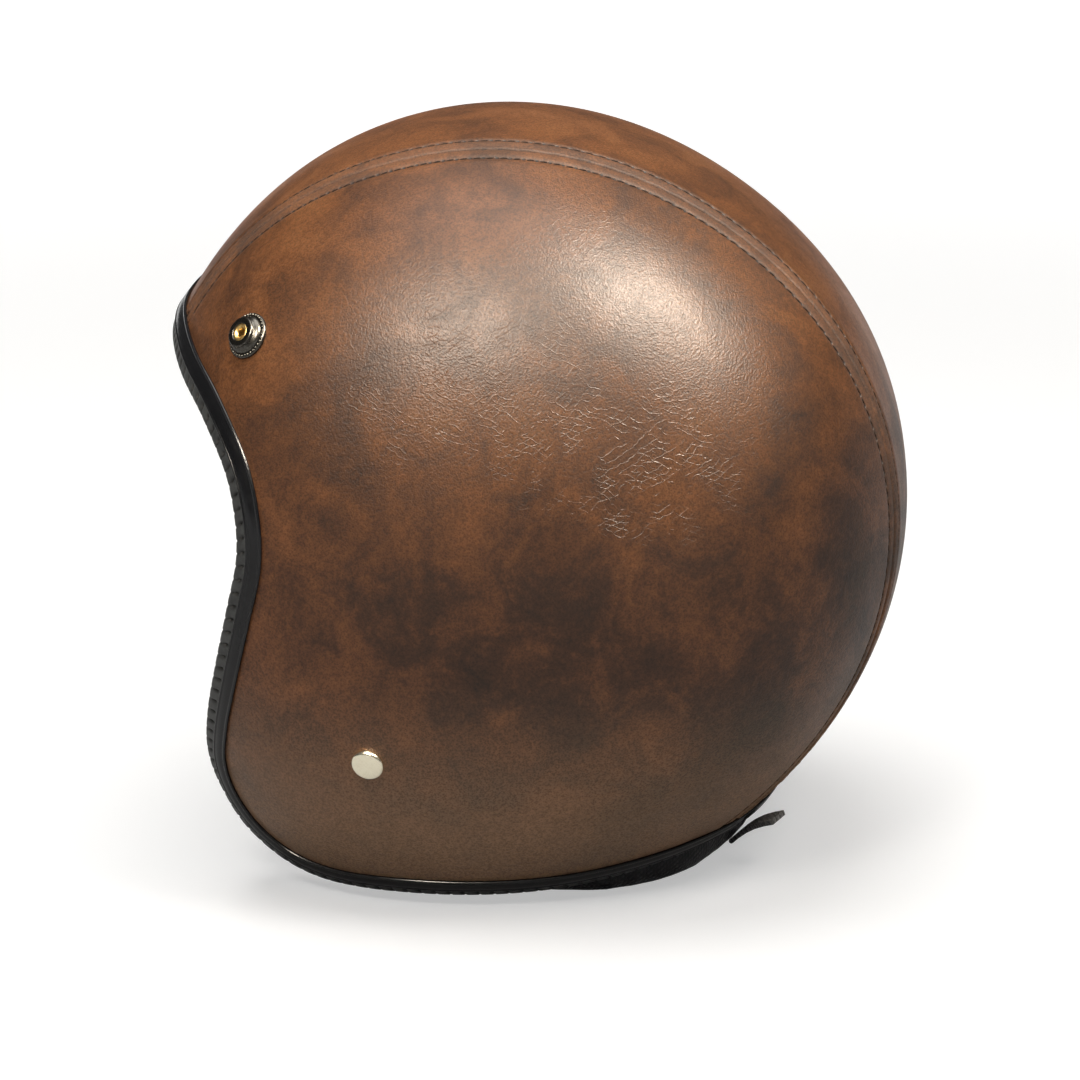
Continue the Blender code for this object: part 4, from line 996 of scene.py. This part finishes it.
joint_at = {joint["name"]: Vector(joint["pos_m"]) for joint in frame["joints"]}
strap_rise = math.radians(8.0)
strap_play = 0.0003
anchor_top = rivet_z + 0.0100
anchor_depth = 0.0076
anchor_ease = 0.0029
short_end = 0.0171
long_end = 0.0111
ring_room = 0.0060
tail_share = 0.79
rim_low = [p for p in opening_line if p[1] < rivet_z and p[0] > -0.0935]
rim_drop = float(np.interp(rivet_y, [p[0] for p in rim_low], [p[1] for p in rim_low]))
for side, word in sides:
    axis = joint_at["strap_" + word + "_fold"]
    path = []
    for k in range(9):
        share = k / 8.0
        point = lift(rivet_y, anchor_top + (rim_drop - anchor_top) * share)
        point.x *= side
        ease = max(0.0, share - 0.5) * 2.0
        path.append(point - outward(point) * (anchor_depth + anchor_ease * ease) + ear)
    path.append(axis + (path[-1] - axis) * 0.22)
    anchor = webbing("strap_anchor_" + word + "_web", path)
    belongs(anchor, "helmet", "black_webbing", "strap_anchor_" + word)

    run = Vector((-side * math.cos(strap_rise), 0.0, math.sin(strap_rise)))
    rise = Vector((side * math.sin(strap_rise), 0.0, math.cos(strap_rise)))

    def strap_point(u, w):
        return axis + run * u + rise * w

    reach = (abs(axis.x) - (short_end if word == "left" else long_end)) / math.cos(strap_rise)
    under = strap_thickness + strap_play
    if word == "left":
        eye = (ring_room + 2.0 * strap_play + strap_thickness) / 2.0
        path = [strap_point(0.0, 0.0), strap_point(reach * 0.5, 0.0), strap_point(reach, 0.0)]
        path += [strap_point(reach + eye * math.sin(spin), eye * (math.cos(spin) - 1.0))
                 for spin in (math.pi * k / 6.0 for k in range(1, 7))]
        path += [strap_point(reach - eye, -2.0 * eye), strap_point(reach - eye * 2.4, -under),
                 strap_point(reach * 0.52, -under)]
        short = webbing("strap_left_web", path, 110)
        belongs(short, "left_strap", "black_webbing", "strap_left")
    else:
        long_one = webbing("strap_right_web", [strap_point(reach * share, 0.0) for share in (0.0, 0.5, 1.0)])
        belongs(long_one, "right_strap", "black_webbing", "strap_right")
        tail_length = reach * tail_share
        tail = webbing("strap_tail_web", [strap_point(reach - tail_length * share, -under)
                                          for share in (0.0, 0.5, 1.0)])
        belongs(tail, "tail", "black_webbing", "strap_tail")
        snap_point = strap_point(reach - tail_length + strap_width / 2.0,
                                 -under - strap_thickness / 2.0 - strap_play)
        cap = spun("tail_snap_cap_metal", rounded([
            (0.0, 1.30), (1.6, 1.28), (2.9, 1.12), (3.9, 0.80), (4.5, 0.35), (4.5, 0.05), (4.1, 0.0),
            (2.0, 0.0), (0.0, 0.0)])[5:-10], nickel_look, snap_point, -rise)
        belongs(cap, "tail", "black_nickel", "tail_snap_cap")


# Strap pads: soft sleeves of the lining cloth over the webbing under the jaw, plump in the middle
# and closed at both ends.

for word, body in (("left", "left_strap"), ("right", "right_strap")):
    pad = stuffed("strap_pad_" + word, 0.0011, 0.0003, 0.0007, rounds=0)
    belongs(pad, body, "black_padding", "strap_pad_" + word)


# D-rings: two bent steel wire rings, bar in the short strap's loop and bow towards the chin.

ring_wire = 0.0013
ring_bar_half = strap_width / 2.0 + ring_wire + 0.0005
ring_reach = 0.0185
run = Vector((-math.cos(strap_rise), 0.0, math.sin(strap_rise)))
for word in ("upper", "lower"):
    bar = joint_at["d_ring_" + word + "_swing"]
    outline = [(-ring_bar_half, 0.0)]
    for k in range(25):
        spin = math.pi * (k / 24.0 - 0.5)
        outline.append((ring_bar_half * math.sin(spin),
                        ring_reach - ring_bar_half + ring_bar_half * math.cos(spin)))
    outline.append((ring_bar_half, 0.0))
    outline += [(ring_bar_half * (1.0 - k / 5.0), 0.0) for k in range(1, 10)]
    bpy.ops.curve.primitive_bezier_circle_add(radius=0.01)
    wire = bpy.context.object
    wire.name = "d_ring_" + word + "_wire"
    wire.data.splines.clear()
    line = wire.data.splines.new("POLY")
    line.points.add(len(outline) - 1)
    for point, (y, u) in zip(line.points, outline):
        point.co = (*(bar + across_y * y + run * u), 1.0)
    line.use_cyclic_u = True
    wire.data.bevel_depth = ring_wire
    wire.data.bevel_resolution = 5
    use(wire)
    bpy.ops.object.convert(target="MESH")
    ring = bpy.context.object
    ring.data.materials.clear()
    ring.data.materials.append(steel_look)
    ring.data.shade_smooth()
    belongs(ring, word + "_ring", "steel", "d_ring_" + word)


# Rear tab: a short doubled strip of the webbing sewn to the neck roll. It stands out past the rim
# and holds a strap of the goggles.

tab_point = joint_at["rear_tab_flip"]
tab = into_mesh("rear_tab_web", merged_copy("rear_tab"), webbing_look)
finish_with(tab, "BEVEL", width=0.0005, segments=3, limit_method="ANGLE", angle_limit=math.radians(50.0))
tab.data.shade_smooth()
tab_along = Vector((-0.8752, 0.4669, 0.1267))
tab_wide = tab_along.orthogonal().normalized()
away = [v.co - tab_point for v in tab.data.vertices]
mark_web(tab, [(p.dot(tab_wide), p.dot(tab_along), 0.0) for p in away])
belongs(tab, "tab", "black_webbing", "rear_tab")


# Stage: a pale seamless table under a large overhead soft box and two small ones, in a dim room. Two
# more at the small ones' places only add shine. It is seen from the wearer's left.

view_height = math.radians(15.05)
view_turn = math.radians(94.18)
view_far = 1.300
view_way = Vector((math.sin(view_turn) * math.cos(view_height), -math.cos(view_turn) * math.cos(view_height),
                   math.sin(view_height)))
lens_data = bpy.data.cameras.new("camera")
lens_data.lens = 122.63
lens_data.sensor_width = 36.0
lens_data.shift_y = -0.0239
camera = placed("camera", lens_data)
camera.location = ear + view_way * view_far
camera.rotation_euler = view_way.to_track_quat("Z", "Y").to_euler()
bpy.context.scene.camera = camera

bpy.ops.mesh.primitive_plane_add(size=14.0, location=(0.0, 0.0, -0.0004))
floor = bpy.context.object
floor.name = "floor"
floor_look = bpy.data.materials.new("pale_floor")
floor_look.use_nodes = True
tree = floor_look.node_tree
tree.nodes.clear()
matt = put(tree, "BsdfDiffuse", {"Color": (0.62, 0.62, 0.62, 1.0)})
far = put(tree, "VectorMath", {0: here(tree)}, operation="LENGTH").outputs["Value"]
ray = put(tree, "LightPath").outputs
near_edge = 0.7
far_edge = 2.2
table = times(tree, ray["Is Camera Ray"], spread(tree, far, near_edge, far_edge, 0.46, 0.0))
backdrop = sums(tree, "MAXIMUM", ray["Is Camera Ray"], sums(tree, "MAXIMUM", ray["Is Glossy Ray"],
                                                            ray["Is Transmission Ray"]))
backdrop = times(tree, backdrop, spread(tree, far, near_edge, far_edge))
white = (1.0, 1.0, 1.0, 1.0)
bright = put(tree, "Emission", {"Color": white, "Strength": sums(tree, "ADD", table, backdrop)})
both = put(tree, "AddShader", {0: matt.outputs[0], 1: bright.outputs[0]})
put(tree, "OutputMaterial", {"Surface": both.outputs[0]})
floor.data.materials.append(floor_look)


def soft_box(name, way, far, size, power, tint, only_gloss=False):
    lamp = bpy.data.lights.new(name, "AREA")
    lamp.shape = "DISK"
    lamp.size = size
    lamp.energy = power
    lamp.color = tint
    box = placed(name, lamp)
    box.location = ear + way.normalized() * far
    box.rotation_euler = way.to_track_quat("Z", "Y").to_euler()
    box.visible_diffuse = not only_gloss


key_way = Vector((0.325, 0.482, 0.814))
side_way = Vector((0.703, -0.202, 0.682))
box_far = 1.5
cream = (1.0, 0.90, 0.76)
warm_white = (1.0, 0.97, 0.93)
soft_box("key_shine", key_way, box_far, 0.44, 104.0, cream, only_gloss=True)
soft_box("side_shine", side_way, box_far, 0.40, 60.0, cream, only_gloss=True)
soft_box("key_box", key_way, box_far, 0.46, 8.0, warm_white)
soft_box("side_box", side_way, box_far, 0.40, 7.0, warm_white)
soft_box("top_box", Vector((0.0, -0.1, 1.0)), 2.0, 1.6, 38.0, (1.0, 0.98, 0.95))

world = bpy.data.worlds.new("room")
bpy.context.scene.world = world
world.use_nodes = True
tree = world.node_tree
tree.nodes.clear()
room = put(tree, "Background", {"Color": white, "Strength": 0.06})
clear = put(tree, "Background", {"Color": white, "Strength": 1.0})
seen = put(tree, "LightPath").outputs["Is Camera Ray"]
mixed = put(tree, "MixShader", {0: seen, 1: room.outputs[0], 2: clear.outputs[0]})
put(tree, "OutputWorld", {"Surface": mixed.outputs[0]})
bpy.context.scene.view_settings.view_transform = "Standard"
